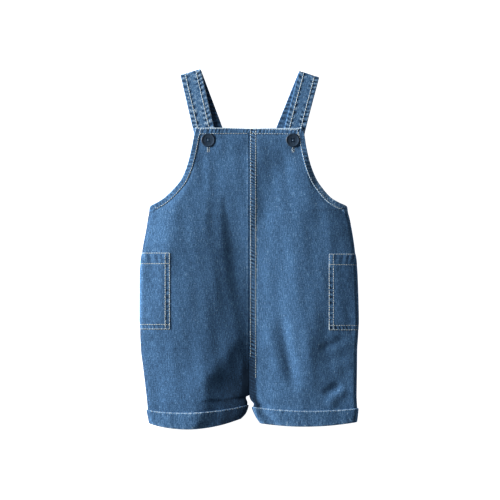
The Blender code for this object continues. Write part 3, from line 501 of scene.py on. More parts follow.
def lift(half, height, across):
    """How far the back is held off the table by the pocket and the turn-up under it."""
    top, bottom, inner_x = POCKETS[half.name]
    reach = abs(half.curve("side_x", height)) - inner_x
    pocket = plateau(height, bottom - LIFT_MARGIN, top + LIFT_MARGIN, LIFT_FADE)
    pocket = pocket * plateau(across, -1.0, reach + LIFT_MARGIN, LIFT_FADE)
    cuff = plateau(height, half.cuff_end, half.cuff_top + LIFT_MARGIN, CUFF_LIFT_FADE)
    return np.maximum(POCKET_LIFT * pocket, CUFF_LIFT * cuff)


def fold_height(folds, x, y):
    total = np.zeros_like(x)
    for row in folds:
        fold = dict(zip(FOLD_COLUMNS, row))
        run = np.array((fold["end_x"] - fold["start_x"], fold["end_y"] - fold["start_y"]))
        length = np.hypot(*run)
        along_x, along_y = run / length
        dx, dy = x - fold["start_x"], y - fold["start_y"]
        t = (dx * along_x + dy * along_y) / length
        off = dy * along_x - dx * along_y - fold["bow"] * 4 * t * (1 - t)
        fade = eased(t / FOLD_TAPER) * eased((1 - t) / FOLD_TAPER)
        total += fold["height"] * fade * np.exp(-(off / fold["width"]) ** 2)
    return total


def roll(across):
    cosine = np.clip(1 - across / ROLL_WIDTH, 0.0, 1.0)
    return cosine, np.sqrt(1 - cosine ** 2)


def across_place(half, curve, height, across):
    """Plan position: square in from the side line for a hem's width, then straight to the middle."""
    side_x, mid_x, mid_y = curve("side_x", height), half.curve("mid_x", height), curve("mid_y", height)
    slope = curve("side_x", height + SLOPE_STEP) - curve("side_x", height - SLOPE_STEP)
    slope = slope / (2 * SLOPE_STEP) * (1 - curve("fold", height))
    size = np.hypot(1.0, slope)
    in_x, in_y = -half.sign / size, half.sign * slope / size
    width = abs(mid_x - side_x)
    hem = np.minimum(across, ARMHOLE_HEM)
    rest = (across - hem) / (width - ARMHOLE_HEM)
    x = side_x + in_x * hem + (mid_x - side_x - in_x * ARMHOLE_HEM) * rest
    y = height + in_y * hem + (mid_y - height - in_y * ARMHOLE_HEM) * rest
    share = across / width
    return x, y + half.curve("sag", height) * 4 * share * (1 - share), width


def front_point(half, height, across, depth, creases=0.0):
    """Point of the front at a depth below its outer face; a depth below 0 is outside it."""
    height, across, depth = np.broadcast_arrays(height, across, depth)
    fold, mid_fold = half.curve("fold", height), half.curve("mid_fold", height)
    x, y, width = across_place(half, half.curve, height, across)
    side_cos, side_sin = roll(across)
    mid_cos, mid_sin = roll(width - across)
    edge_z = (1 - fold) * half.curve("edge_z", height) + fold * (lift(half, height, 0.0) + FOLD_MIDDLE)
    inner_edge = lift(half, height, width) + INNER_FLAT * ROLL_BACK + GAP
    mid_z = (1 - mid_fold) * half.curve("mid_z", height) + mid_fold * inner_edge
    knots = ("foot", "slope", "crest", "shoulder")
    places = [0 * width] + [half.curve(knot + "_in", height) for knot in knots] + [width]
    levels = [mid_z + mid_fold * INNER_FLAT * ROLL_FRONT]
    levels += [half.curve(knot + "_z", height) for knot in knots] + [edge_z + fold * ROLL_FRONT]
    z = level_curve(np.stack(places, axis=-1), np.stack(levels, axis=-1), width - across)
    calm = 1 - fold * (1 - eased(across / EDGE_CALM))
    calm = calm * (1 - mid_fold * (1 - eased((width - across) / EDGE_CALM)))
    z = z + (fold_height(FOLDS, x, y) + creases) * calm
    z = z - ROLL_FRONT * (fold * (1 - side_sin) + INNER_FLAT * mid_fold * (1 - mid_sin))
    inward = -half.sign * depth * (fold * side_cos - mid_fold * mid_cos)
    down = depth * (1 - fold * (1 - side_sin) - mid_fold * (1 - mid_sin))
    return np.stack((x + inward, y, z - down), axis=-1)


def edge_round(distance, radius=0.7):
    """How far a folded edge rounds down at a distance from it."""
    inside = np.clip(1 - distance / radius, 0, 1)
    return radius * (1 - np.sqrt(1 - inside ** 2))


def raised(distance, width):
    return eased((width - distance) / STEP)


def below(y, top, fade):
    """0 above a height, rising to 1 at a fade under it."""
    return eased((top - y) / fade)


def beyond(distance, start, fade):
    """0 up to a distance, rising to 1 at a fade past it."""
    return eased((distance - start) / fade)


def worn_edge(distance, width=0.8):
    """1 at a folded edge, fading inwards."""
    return np.exp(-distance / width)


def worn_line(distance, place, width=0.8):
    """1 along a line beside an edge, fading to both sides."""
    return np.exp(-((distance - place) / width) ** 2)


def pucker(along, spacing, seed):
    """Uneven ridges and troughs along a seam, from -1 to 1."""
    drift = 1.5 * np.sin(along * 0.17 + seed) + 0.9 * np.sin(along * 0.061 + 2.3 * seed)
    strength = 0.72 + 0.28 * np.sin(along * 0.113 + 3.1 * seed)
    return strength * np.sin(2 * np.pi * along / spacing + drift)


def blotched(waves):
    """Wear from puckers: dark blotches in the troughs, a little fading between them."""
    return RIDGE_WEAR * np.maximum(waves, 0) - TROUGH_SHADE * np.maximum(-waves, 0)


def seam_band(distance, inner, outer_fade):
    """1 in the middle of a stitched band inner wide, fading past its stitch row."""
    inside = np.sin(np.pi * np.clip(distance / inner, 0, 1)) ** BAND_FULLNESS
    past_row = PAST_ROW * np.exp(-np.maximum(distance - inner, 0) / outer_fade)
    past_row = past_row * beyond(distance, inner, ROW_PINCH) * (distance > inner)
    return inside * (distance <= inner) + past_row


def band_puckers(along, distance, puckers, seed):
    """Puckers along a stitched band, at a distance in from its edge."""
    spacing, slant, width, fade = puckers
    return pucker(along + slant * distance, spacing, seed) * seam_band(distance, width, fade)


def cloth_grid(rows, columns):
    """A flat grid of cloth with its two vertex values, and the way to a vertex's row and column."""
    builder = bmesh.new()
    layers = builder.verts.layers.float_vector.new("cloth"), builder.verts.layers.float.new("wear_and_painted_light")
    bmesh.ops.create_grid(builder, x_segments=columns - 1, y_segments=rows - 1, size=0.5)

    def grid_place(vertex):
        return round((vertex.co.y + 0.5) * (rows - 1)), round((vertex.co.x + 0.5) * (columns - 1))

    return builder, layers, grid_place


def cloth_wall(name, outer, inner, cloth, wear_and_painted_light, inner_wear_and_painted_shade=0.0):
    """A closed wall of cloth between two grids of points."""
    builder, (cloth_layer, wear_and_painted_light_layer), grid_place = cloth_grid(*outer.shape[:2])
    lining = bmesh.ops.extrude_face_region(builder, geom=builder.faces[:], use_keep_orig=True)
    lining = {part for part in lining["geom"] if isinstance(part, bmesh.types.BMVert)}
    outer, inner, inner_wear_and_painted_shade = outer * MM, inner * MM, inner_wear_and_painted_shade + 0 * wear_and_painted_light
    for vertex in builder.verts:
        place = grid_place(vertex)
        vertex.co = (inner if vertex in lining else outer)[place]
        vertex[cloth_layer] = cloth[place]
        vertex[wear_and_painted_light_layer] = (inner_wear_and_painted_shade if vertex in lining else wear_and_painted_light)[place]
    bmesh.ops.recalc_face_normals(builder, faces=builder.faces)
    return finish_piece(name, built_mesh(name, builder), denim, CLOTH_CREASE)


def finish_piece(name, mesh, material, crease):
    """A piece of the garment from its mesh, smooth but for edges sharper than a crease."""
    mesh.materials.clear()
    mesh.materials.append(material)
    mesh.shade_smooth()
    mesh.set_sharp_from_angle(angle=crease)
    piece = placed(name, mesh)
    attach(piece, "root")
    return piece


def spread(start, end, pitch):
    return np.linspace(start, end, max(2, int(round(abs(end - start) / pitch)) + 1))


def roll_columns():
    return ROLL_WIDTH * (1 - np.cos(np.linspace(0, np.pi / 2, ROLL_STEPS + 1)))


def front_columns(width):
    near = np.concatenate((roll_columns(), spread(ROLL_WIDTH, ARMHOLE_HEM + HEM_MARGIN, HEM_PITCH)[1:]))
    far = width - spread(0, SEAM_STRIP + SEAM_MARGIN, SEAM_PITCH)[::-1]
    return np.concatenate((near, np.linspace(near[-1], far[0], FRONT_MIDDLE_COLUMNS + 1)[1:-1], far))


def hem_distance(half, x, y):
    """Distance to the armhole edge, drawn on past the side so that the hem runs out there."""
    heights = np.linspace(half.top, ARMHOLE_FOOT, 60)
    edge = np.stack((half.curve("side_x", heights), heights), axis=-1)
    edge = np.vstack((edge, edge[-1] + (edge[-1] - edge[-4]) * 4))
    distance = np.full(x.shape, 1e9)
    for start, end in zip(edge[:-1], edge[1:]):
        run = end - start
        t = np.clip(((x - start[0]) * run[0] + (y - start[1]) * run[1]) / (run @ run), 0, 1)
        distance = np.minimum(distance, np.hypot(x - start[0] - t * run[0], y - start[1] - t * run[1]))
    return distance


def side_length(half, height):
    """Length along the side line from the top, for puckers that keep their spacing round a curve."""
    heights = np.linspace(half.top, half.cuff_end, 400)
    steps = np.hypot(np.diff(half.curve("side_x", heights)), np.diff(heights))
    return np.interp(-height, -heights, np.concatenate(([0], np.cumsum(steps))))


def unevenness(x, y):
    """Slow waves of the cloth as it lies."""
    return sum(height * np.sin(x * over + y * along + start) for height, over, along, start in SLOW_WAVES)


def half_width(half, height):
    return abs(half.curve("mid_x", height) - half.curve("side_x", height))


def painted_side_shade(across):
    """1 at the side fold, where painted shade darkens the cloth."""
    return 1 - eased(across / SIDE_PAINTED_SHADE_WIDTH)


def painted_inner_leg_shade(from_seam, y):
    """1 on the inner side of a leg, where painted shade darkens the cloth."""
    return below(y, *LEG_PAINTED_SHADE_DOWN) * (1 - beyond(from_seam, *LEG_PAINTED_SHADE_ACROSS))


def front_details(half, heights, across):
    """Relief of hems and seam, puckers and wear over the front's grid."""
    rows = heights[:, None]
    plain = front_point(half, rows, across, 0.0)
    x, y = plain[..., 0], plain[..., 1]
    from_top, from_armhole = half.top - rows + 0 * x, hem_distance(half, x, y)
    from_seam = half_width(half, rows) - across
    above_crotch = 1 - half.curve("mid_fold", rows)
    relief = np.maximum(raised(from_top, TOP_HEM), raised(from_armhole, ARMHOLE_HEM))
    waves = band_puckers(x, from_top, TOP_PUCKERS, 1.1 + half.sign)
    armhole = band_puckers(side_length(half, rows), from_armhole, ARMHOLE_PUCKERS, 2.0 + half.sign)
    waves = HEM_PUCKER_SIZE * (waves + armhole * beyond(from_top, TOP_HEM, 3))
    wear_and_painted_light = HEM_BLOTCHES * blotched(waves)
    wear_and_painted_light = wear_and_painted_light + ARMHOLE_EDGE_WEAR * worn_edge(from_armhole) + TOP_EDGE_WEAR * worn_edge(from_top, 0.7)
    if half.name == "right":
        strip = above_crotch * raised(from_seam, SEAM_STRIP) * eased(from_seam / STRIP_RISE)
        relief = np.maximum(relief, STRIP_RELIEF * strip)
        seam = band_puckers(y, from_seam, SEAM_PUCKERS, 5.0) * above_crotch
        beside = above_crotch * worn_line(from_seam, STRIP_LINE) * (1 - below(y, *STRIP_LINE_END))
        # Painted light along the right armhole.
        painted_light_by_armhole = raised(from_armhole, ARMHOLE_HEM + 1) * below(y - x, *ARMHOLE_PAINTED_LIGHT_DOWN)
        waves = waves + seam
        wear_and_painted_light = wear_and_painted_light + SEAM_BLOTCHES * blotched(seam)
        wear_and_painted_light = wear_and_painted_light - STRIP_SHADE * above_crotch * raised(from_seam, SEAM_BAND)
        wear_and_painted_light = wear_and_painted_light + STRIP_LINE_WEAR * beside + ARMHOLE_PAINTED_LIGHT * painted_light_by_armhole
    else:
        seam = pucker(y, LAP_PUCKER, 7.0) * worn_edge(from_seam, LAP_PUCKER_WIDTH) * above_crotch
        waves = waves + LAP_PUCKER_SIZE * seam
        wear_and_painted_light = wear_and_painted_light + LAP_PUCKER_WEAR * seam
        wear_and_painted_light = wear_and_painted_light + LAP_LINE_WEAR * above_crotch * worn_line(from_seam, LAP_LINE)
        # Painted shade on the left half: darker at the side fold, on the inner leg and down the leg.
        wear_and_painted_light = wear_and_painted_light - SIDE_PAINTED_SHADE * half.curve("fold", rows) * painted_side_shade(across)
        wear_and_painted_light = wear_and_painted_light - LEG_PAINTED_SHADE * painted_inner_leg_shade(from_seam, y) - LEFT_LEG_PAINTED_SHADE * below(y, *LEFT_LEG_PAINTED_SHADE_DOWN)
    # Painted shade in the crotch hollow, where the puckers are also calmed.
    pit = below(y, *PIT_DOWN) * (1 - beyond(from_seam, *PIT_ACROSS))
    return relief, waves * (1 - PIT_CALM * pit), wear_and_painted_light - PIT_PAINTED_SHADE * pit


def front_panel(half):
    heights = np.concatenate((
        spread(half.top, half.top - TOP_HEM - HEM_MARGIN, HEM_PITCH),
        spread(half.top - TOP_HEM - HEM_MARGIN, half.panel_end, FRONT_ROW_PITCH)[1:],
    ))
    widths = half_width(half, heights)
    across = np.array([front_columns(width) for width in widths])
    rows = heights[:, None]
    relief, waves, wear_and_painted_light = front_details(half, heights, across)
    plain = front_point(half, rows, across, 0.0)
    slow = unevenness(plain[..., 0], plain[..., 1])
    from_edge = np.minimum(half.top - rows + 0 * across, across + FAR_IN * half.curve("fold", rows))
    depth = edge_round(from_edge) - HEM_RELIEF * relief - PUCKER_RELIEF * waves
    outer = front_point(half, rows, across, depth, slow)
    inner = front_point(half, rows, across, CLOTH, slow)
    lap = 1 - eased((widths[:, None] - across) / SEAM_LAP_WIDTH)
    inner[..., 0] += SEAM_LAP * lap * (1 - half.curve("mid_fold", rows))
    cloth = np.stack((plain[..., 0], plain[..., 1], 0 * slow), axis=-1) * MM
    return cloth_wall("cloth_front_" + half.name, outer, inner, cloth, wear_and_painted_light)


front_pieces = {}
for half in halves.values():
    front_pieces[half.name] = front_panel(half)
    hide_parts("front_" + half.name)

# --- Back panels ------------------------------------------------------------------------------
# Two panels of the same denim under the front, flat on the table, with their own hemmed
# armholes and a seam between them. They meet the front panels at the side folds.

BACK_ARMHOLE_COLUMNS = ("height", "side_x", "mid_y", "fold")
BACK_ARMHOLE = (
    (109.5, 56.0, 109.5, 0.0),
    (97.8, 58.5, 96.0, 0.0),
    (75.0, 69.5, 71.0, 0.0),
    (60.0, 91.0, 52.0, 0.15),
    (53.0, 111.0, 42.5, 0.5),
)
UNDERARM = 46.0
BACK_SEAM_OFFSET = 1.5  # beside the front's seam, so that no light falls through
BACK_ROW_PITCH, BACK_COLUMNS = 2.2, 45
BACK_SEAM_PUCKERS = 5.0, 0.0, HEM_BAND, 1.2
BACK_EDGE_PUCKERS = 5.0, 0.0, HEM_BAND, 2.0
BACK_PUCKER_RELIEF, BACK_WEAR = 0.12, 0.8
BACK_SHIFT = 400  # moves the cloth's pattern, so that no two pieces are alike


def back_curve(half, column, height):
    """A curve of the back: its own armhole above the underarm, the front's side line below."""
    if column == "mid_x":
        return half.curve(column, height) + BACK_SEAM_OFFSET * (1 - half.curve("mid_fold", height))
    sides = half.stations[half.stations <= UNDERARM]
    armhole = table_column(BACK_ARMHOLE, BACK_ARMHOLE_COLUMNS, column)[::-1]
    armhole = armhole * half.sign if column == "side_x" else armhole
    stations = np.concatenate((sides, table_column(BACK_ARMHOLE, BACK_ARMHOLE_COLUMNS, "height")[::-1]))
    return smooth_curve(stations, np.concatenate((half.curve(column, sides), armhole)), height)


def back_point(half, height, across, depth):
    """Point of the back at a depth above its outer face, which is its underside."""
    height, across, depth = np.broadcast_arrays(height, across, depth)

    def curve(column, at):
        return back_curve(half, column, at)

    fold, mid_fold = curve("fold", height), half.curve("mid_fold", height)
    x, y, width = across_place(half, curve, height, across)
    side_cos, side_sin = roll(across)
    mid_cos, mid_sin = roll(width - across)
    rolled = fold * (1 - side_sin) + INNER_FLAT * mid_fold * (1 - mid_sin)
    z = lift(half, height, across) + ROLL_BACK * rolled
    inward = -half.sign * depth * (fold * side_cos - mid_fold * mid_cos)
    up = depth * (1 - fold * (1 - side_sin) - mid_fold * (1 - mid_sin))
    return np.stack((x + inward, y, z + up), axis=-1)


def back_columns(width):
    between = np.linspace(ROLL_WIDTH, width - ROLL_WIDTH, BACK_COLUMNS + 1)[1:-1]
    return np.concatenate((roll_columns(), between, width - roll_columns()[::-1]))


def back_panel(half):
    heights = spread(BACK_ARMHOLE[0][0], half.panel_end, BACK_ROW_PITCH)
    rows = heights[:, None]
    widths = abs(back_curve(half, "mid_x", heights) - back_curve(half, "side_x", heights))
    across = np.array([back_columns(width) for width in widths])
    plain = back_point(half, rows, across, 0.0)
    from_side = across + FAR_IN * back_curve(half, "fold", rows)
    from_edge = np.minimum(heights[0] - rows + 0 * across, from_side)
    seam = band_puckers(plain[..., 1], widths[:, None] - across, BACK_SEAM_PUCKERS, 3.0)
    edge = band_puckers(side_length(half, rows), from_edge, BACK_EDGE_PUCKERS, 1.0)
    waves = seam * (1 - half.curve("mid_fold", rows)) + edge
    wear_and_painted_light = BACK_WEAR * waves + ARMHOLE_EDGE_WEAR * worn_edge(from_edge)
    sunk = BACK_PUCKER_RELIEF * (1 - waves)
    outer = back_point(half, rows, across, sunk)
    outer[..., 2] = np.maximum(outer[..., 2], 0.0)
    inner = back_point(half, rows, across, CLOTH + sunk)
    cloth = np.stack((plain[..., 0] + BACK_SHIFT, plain[..., 1], 0 * from_edge), axis=-1) * MM
    return cloth_wall("cloth_back_" + half.name, outer, inner, cloth, wear_and_painted_light)


back_pieces = {}
for half in halves.values():
    back_pieces[half.name] = back_panel(half)
    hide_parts("back_" + half.name)

# --- Pockets ----------------------------------------------------------------------------------
# A patch pocket over each side seam, folded round to the back: a deep hem at its mouth, two rows
# of stitches down its edges and along its foot, and ridges of wear between the rows.

POCKET_HEM = 14.4
POCKET_RELIEF, POCKET_HEM_RISE = 0.3, 3.0
POCKET_EDGE, POCKET_FACE, POCKET_FACE_WIDTH = 0.28, 0.85, 12.0  # how far it stands off the front
POCKET_EDGE_ROW = 6.0
POCKET_EDGE_PUCKERS = 6.6, 0.2, POCKET_EDGE_ROW, 1.8
POCKET_FOOT_PUCKERS = 5.2, 0.4, POCKET_EDGE_ROW, 2.0
POCKET_BACK_FOOT_PUCKERS = 5.2, 0.0, POCKET_EDGE_ROW, 2.0
POCKET_MOUTH_PUCKERS = 7.0, 0.3, POCKET_HEM, 1.6
POCKET_PUCKER_SIZE, POCKET_MOUTH_PUCKER_SIZE = {"left": 0.75, "right": 1.35}, 0.75
POCKET_PUCKER_RELIEF = 0.13
POCKET_EDGE_WEAR, POCKET_SHADE, POCKET_EDGE_ROUND = 1.5, 0.12, 0.4
POCKET_HEM_LINE, POCKET_HEM_WEAR = (POCKET_HEM + 0.6, 0.9), 0.4
POCKET_ROW_PITCH, POCKET_COLUMNS = 0.75, 60
POCKET_TURN_SHARE = 0.28  # of the columns from the side fold to an edge, those in the roll
POCKET_INSIDE = 0.1  # its inner face's distance from the panel
POCKET_SHIFT = 700


def pocket_grid(half, heights, columns):
    """Distances across of a pocket's grid, and its reach from the side to its edges: columns run
    from 0 at its front edge to 1 at the side and 2 at its back edge."""
    reach = abs(half.curve("side_x", heights)) - POCKETS[half.name][2]
    from_side = abs(columns - 1)
    in_roll = ROLL_WIDTH * (1 - np.cos(np.clip(from_side / POCKET_TURN_SHARE, 0, 1) * np.pi / 2))
    past_roll = np.clip((from_side - POCKET_TURN_SHARE) / (1 - POCKET_TURN_SHARE), 0, 1)
    return in_roll + (reach - ROLL_WIDTH) * past_roll, reach


def pocket_point(half, heights, columns, out, slow=0.0):
    across, _ = pocket_grid(half, heights, columns)
    front = front_point(half, heights, across, -out, slow)
    back = back_point(half, heights, across, -out)
    return np.where((columns < 1)[..., None], front, back)


def pocket(half):
    top, bottom, _ = POCKETS[half.name]
    heights = spread(top, bottom, POCKET_ROW_PITCH)[:, None]
    columns = np.linspace(0, 2, 2 * POCKET_COLUMNS + 1)[None, :] + 0 * heights
    heights = heights + 0 * columns
    across, reach = pocket_grid(half, heights, columns)
    from_edge = reach - across
    from_top, from_foot = top - heights, heights - bottom
    flat = front_point(half, heights, across, 0.0)
    slow = unevenness(flat[..., 0], flat[..., 1])
    seed, at_back = 1.7 + half.sign, columns >= 1
    round_side = np.where(at_back, across, -across)
    edge = band_puckers(heights, from_edge, POCKET_EDGE_PUCKERS, seed)
    edge = edge * beyond(from_top, POCKET_HEM, 2) * (1 - below(from_foot, POCKET_EDGE_ROW, 2))
    front_foot = band_puckers(flat[..., 0], from_foot, POCKET_FOOT_PUCKERS, seed + 2)
    back_foot = band_puckers(across, from_foot, POCKET_BACK_FOOT_PUCKERS, seed + 3)
    mouth = band_puckers(round_side, from_top, POCKET_MOUTH_PUCKERS, seed + 4)
    waves = POCKET_PUCKER_SIZE[half.name] * (edge + np.where(at_back, back_foot, front_foot))
    waves = waves + POCKET_MOUTH_PUCKER_SIZE * mouth
    border = np.minimum(np.minimum(from_top, from_edge), from_foot)
    wear_and_painted_light = blotched(waves) + POCKET_EDGE_WEAR * worn_edge(border, 0.7) - POCKET_SHADE
    wear_and_painted_light = wear_and_painted_light + POCKET_HEM_WEAR * worn_line(from_top, *POCKET_HEM_LINE)
    face = POCKET_EDGE + (POCKET_FACE - POCKET_EDGE) * eased(border / POCKET_FACE_WIDTH)
    face = face + (POCKET_LIFT - face) * eased((columns - 1) * 3)
    hem = POCKET_RELIEF * raised(from_top, POCKET_HEM) * eased(border / POCKET_HEM_RISE)
    out = face + hem + POCKET_PUCKER_RELIEF * waves - edge_round(border, POCKET_EDGE_ROUND)
    outer = pocket_point(half, heights, columns, out, slow)
    inner = pocket_point(half, heights, columns, POCKET_INSIDE, slow)
    outer[..., 2] = np.maximum(outer[..., 2], 0.0)
    cloth = np.stack((round_side + POCKET_SHIFT, heights, 0 * across), axis=-1) * MM
    return cloth_wall("cloth_pocket_" + half.name, outer, inner, cloth, wear_and_painted_light)


pocket_pieces = {}
for half in halves.values():
    pocket_pieces[half.name] = pocket(half)
    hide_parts("pocket_" + half.name)

# --- Turn-ups ---------------------------------------------------------------------------------
# The end of each leg turned up once over the panels, as a band in the same denim that goes all
# round the leg. Its cut edge is turned in and shows as a thin pale line.

CUFF_CORNER = ((0.0, -0.7), (0.2, -0.2), (0.7, 0.0))  # the rounding of its upper edge
CUFF_ROW_PITCH, CUFF_FACE_START, CUFF_TURN = 0.8, 1.3, 7
CUFF_OUTSIDE = 0.5  # what stands farther out from the panel than this is its outer face
# Puckers at its upper edge and at its foot: from ridge to ridge, slant, size, how soon they fade.
CUFF_TOP_PUCKERS = 6.2, 0.5, 1.0, 3.0
CUFF_FOOT_PUCKERS = 9.0, -0.4, 0.7, 3.5
CUFF_PUCKER_RELIEF, CUFF_BLOTCHES = 0.14, 0.8
CUFF_TOP_WEAR, CUFF_TOP_WIDTH, CUFF_FOOT_WEAR, CUFF_FOOT_WIDTH = 1.0, 0.9, 0.8, 1.5
# Painted shade on the left turn-up's inner side.
CUFF_LEG_PAINTED_SHADE = 1.4
CUFF_SHIFT, CUFF_BACK_SHIFT = 1000, 600


def cuff_profile():
    """Closed J section: distance down from the upper edge, and distance out from the panel's face."""
    centre = (GAP + CUFF_WALL - CLOTH) / 2
    radius = (GAP + CUFF_WALL + CLOTH) / 2
    inside, stub = CUFF_HEIGHT - radius, CUFF_HEIGHT - CUFF_RETURN + GAP
    outer = GAP + CUFF_WALL
    upper = [(0.0, GAP)] + [(down, outer + out) for down, out in CUFF_CORNER]
    face = [(down, outer) for down in spread(CUFF_FACE_START, inside - CUFF_ROW_PITCH, CUFF_ROW_PITCH)]
    turn = [
        (inside + radius * math.sin(a), centre + radius * math.cos(a))
        for a in np.linspace(0, math.pi, CUFF_TURN + 1)
    ]
    back = [(stub, -CLOTH), (stub, 0.0), (inside, 0.0), (inside, GAP), (CUFF_HEIGHT / 2, GAP), (0.0, GAP)]
    return np.array(upper + face + turn + back)


def edge_puckers(along, down, distance, puckers, seed):
    """Puckers that fade at a distance from an edge."""
    spacing, slant, size, fade = puckers
    return size * pucker(along + slant * down, spacing, seed) * worn_edge(distance, fade)


def cuff(half):
    loops, wear_and_painted_light = [], []
    for down, out in cuff_profile():
        height = half.cuff_top + (half.cuff_end - half.cuff_top) * down / CUFF_HEIGHT
        width, from_foot = float(half_width(half, height)), CUFF_HEIGHT - down
        front_across, back_across = front_columns(width), back_columns(width)
        outside, left = float(out > CUFF_OUTSIDE), float(half.name == "left")
        x, y, _ = front_point(half, height, front_across, 0.0).T
        waves = edge_puckers(x, down, down, CUFF_TOP_PUCKERS, 2.0 + half.sign)
        waves = (waves + edge_puckers(x, down, from_foot, CUFF_FOOT_PUCKERS, 4.0)) * outside
        depth = -out - CUFF_PUCKER_RELIEF * waves
        front = front_point(half, height, front_across, depth, unevenness(x, y))
        back = back_point(half, height, back_across, -out)
        loops.append(np.concatenate((front, back[::-1], front[:1])))
        edge = CUFF_TOP_WEAR * worn_edge(down, CUFF_TOP_WIDTH)
        edge = edge + CUFF_FOOT_WEAR * worn_edge(from_foot, CUFF_FOOT_WIDTH)
        # Painted shade on the left turn-up: darker on the inner leg and at the side fold.
        shade = CUFF_LEG_PAINTED_SHADE * painted_inner_leg_shade(width - front_across, y)
        shade = shade + SIDE_PAINTED_SHADE * painted_side_shade(front_across)
        row = np.concatenate((CUFF_BLOTCHES * waves - shade * left, 0 * back_across)) + edge * outside
        wear_and_painted_light.append(np.append(row, row[0]))
    points = np.array(loops)
    points[..., 2] = np.maximum(points[..., 2], 0.0)
    cloth = points.copy()
    at_back = np.arange(points.shape[1]) > len(front_across)
    cloth[..., 0] += CUFF_SHIFT + CUFF_BACK_SHIFT * at_back
    return cloth_ring("cloth_cuff_" + half.name, points, cloth * MM, np.array(wear_and_painted_light))


def cloth_ring(name, points, cloth, wear_and_painted_light):
    """A closed ring of cloth from a grid whose last row and column repeat the first."""
    builder, (cloth_layer, wear_and_painted_light_layer), grid_place = cloth_grid(*points.shape[:2])
    points = points * MM
    for vertex in builder.verts:
        place = grid_place(vertex)
        vertex.co = points[place]
        vertex[cloth_layer] = cloth[place]
        vertex[wear_and_painted_light_layer] = wear_and_painted_light[place]
    bmesh.ops.remove_doubles(builder, verts=builder.verts, dist=0.00001)
    bmesh.ops.recalc_face_normals(builder, faces=builder.faces)
    return finish_piece(name, built_mesh(name, builder), denim, CLOTH_CREASE)


cuff_pieces = {}
for half in halves.values():
    cuff_pieces[half.name] = cuff(half)
    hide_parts("cuff_" + half.name)

# --- Straps -----------------------------------------------------------------------------------
# Each strap is a doubled band with a row of stitches inside both edges. It comes out from under
# the bib, is laid over in a flat fold at the top, and runs back down under itself to the back.

STRAP_WIDTH = 26.5
STRAP_WALL = 1.8
STRAP_FOLD = STRAP_WALL + GAP / 2
STRAP_EDGE_ROW = 6.3
STRAP_EDGE_ROUND = 0.9
# Puckers between an edge and its row, and softer ones along the middle of the band.
STRAP_PUCKERS = 6.0, 0.3, STRAP_EDGE_ROW, 2.6
STRAP_MIDDLE_PUCKER, STRAP_MIDDLE_BAND = 7.7, (8.4, 1.9)
STRAP_PUCKER_RELIEF, STRAP_BLOTCHES, STRAP_UNDER_BLOTCHES = 0.17, 1.5, 1.3
STRAP_FADE = {"left": 0.56, "right": 0.34}
# Painted shade on the straps' undersides, far stronger on the left strap's back run.
STRAP_UNDER_PAINTED_SHADE = {"left": -0.9, "right": -0.1}
# Painted shade darkens each strap's left edge; its right edge is paler, partly worn and partly painted
# light.
STRAP_EDGE_PAINTED_LIGHT_AND_WEAR = (-0.5, 0.9)  # at the left edge and at the right
STRAP_SHIFT = {"left": 2100, "right": 2000}
# Points along the middle of a strap's underside: from under the bib up to the fold, and from
# the fold down the back.
STRAPS = {
    "left": {
        "front": ((-49.2, 123.5, 2.1), (-53.6, 137.0, 2.1), (-57.4, 151.5, 2.1), (-73.4, 220.4, 2.1)),
        "back": (
            (-73.4, 220.4, 0.0), (-46.2, 147.5, 0.0), (-37.7, 124.5, 0.0),
            (-34.9, 117.0, 1.35), (-28.3, 99.0, 1.35),
        ),
    },
    "right": {
        "front": ((51.6, 123.5, 2.1), (54.5, 137.0, 2.1), (57.4, 150.1, 2.1), (75.0, 217.6, 2.1)),
        "back": (
            (75.0, 217.6, 0.0), (46.3, 146.5, 0.0), (37.6, 124.5, 0.0),
            (34.6, 117.0, 1.35), (27.5, 99.0, 1.35),
        ),
    },
}
STRAP_ROWS, STRAP_TURN, STRAP_COLUMNS = 130, 14, 37
STRAP_SPREAD = 0.98  # the columns crowd towards the edges, up to this share of a half turn
STRAP_EASE = 6  # how late along its run a strap turns to meet the fold


def strap_run(points, rows):
    """Places along one run of a strap, in its table's order, and the direction it takes there."""
    table = np.array(points)
    length = np.concatenate(([0], np.cumsum(np.hypot(*np.diff(table[:, :2], axis=0).T))))
    at = np.linspace(0, length[-1] - STRAP_FOLD, rows)

    def places(at, axes):
        return np.stack([smooth_curve(length, table[:, axis], at) for axis in range(axes)], axis=-1)

    direction = places(at + SLOPE_STEP, 2) - places(at - SLOPE_STEP, 2)
    return places(at, 3), direction / np.hypot(*direction.T)[:, None]


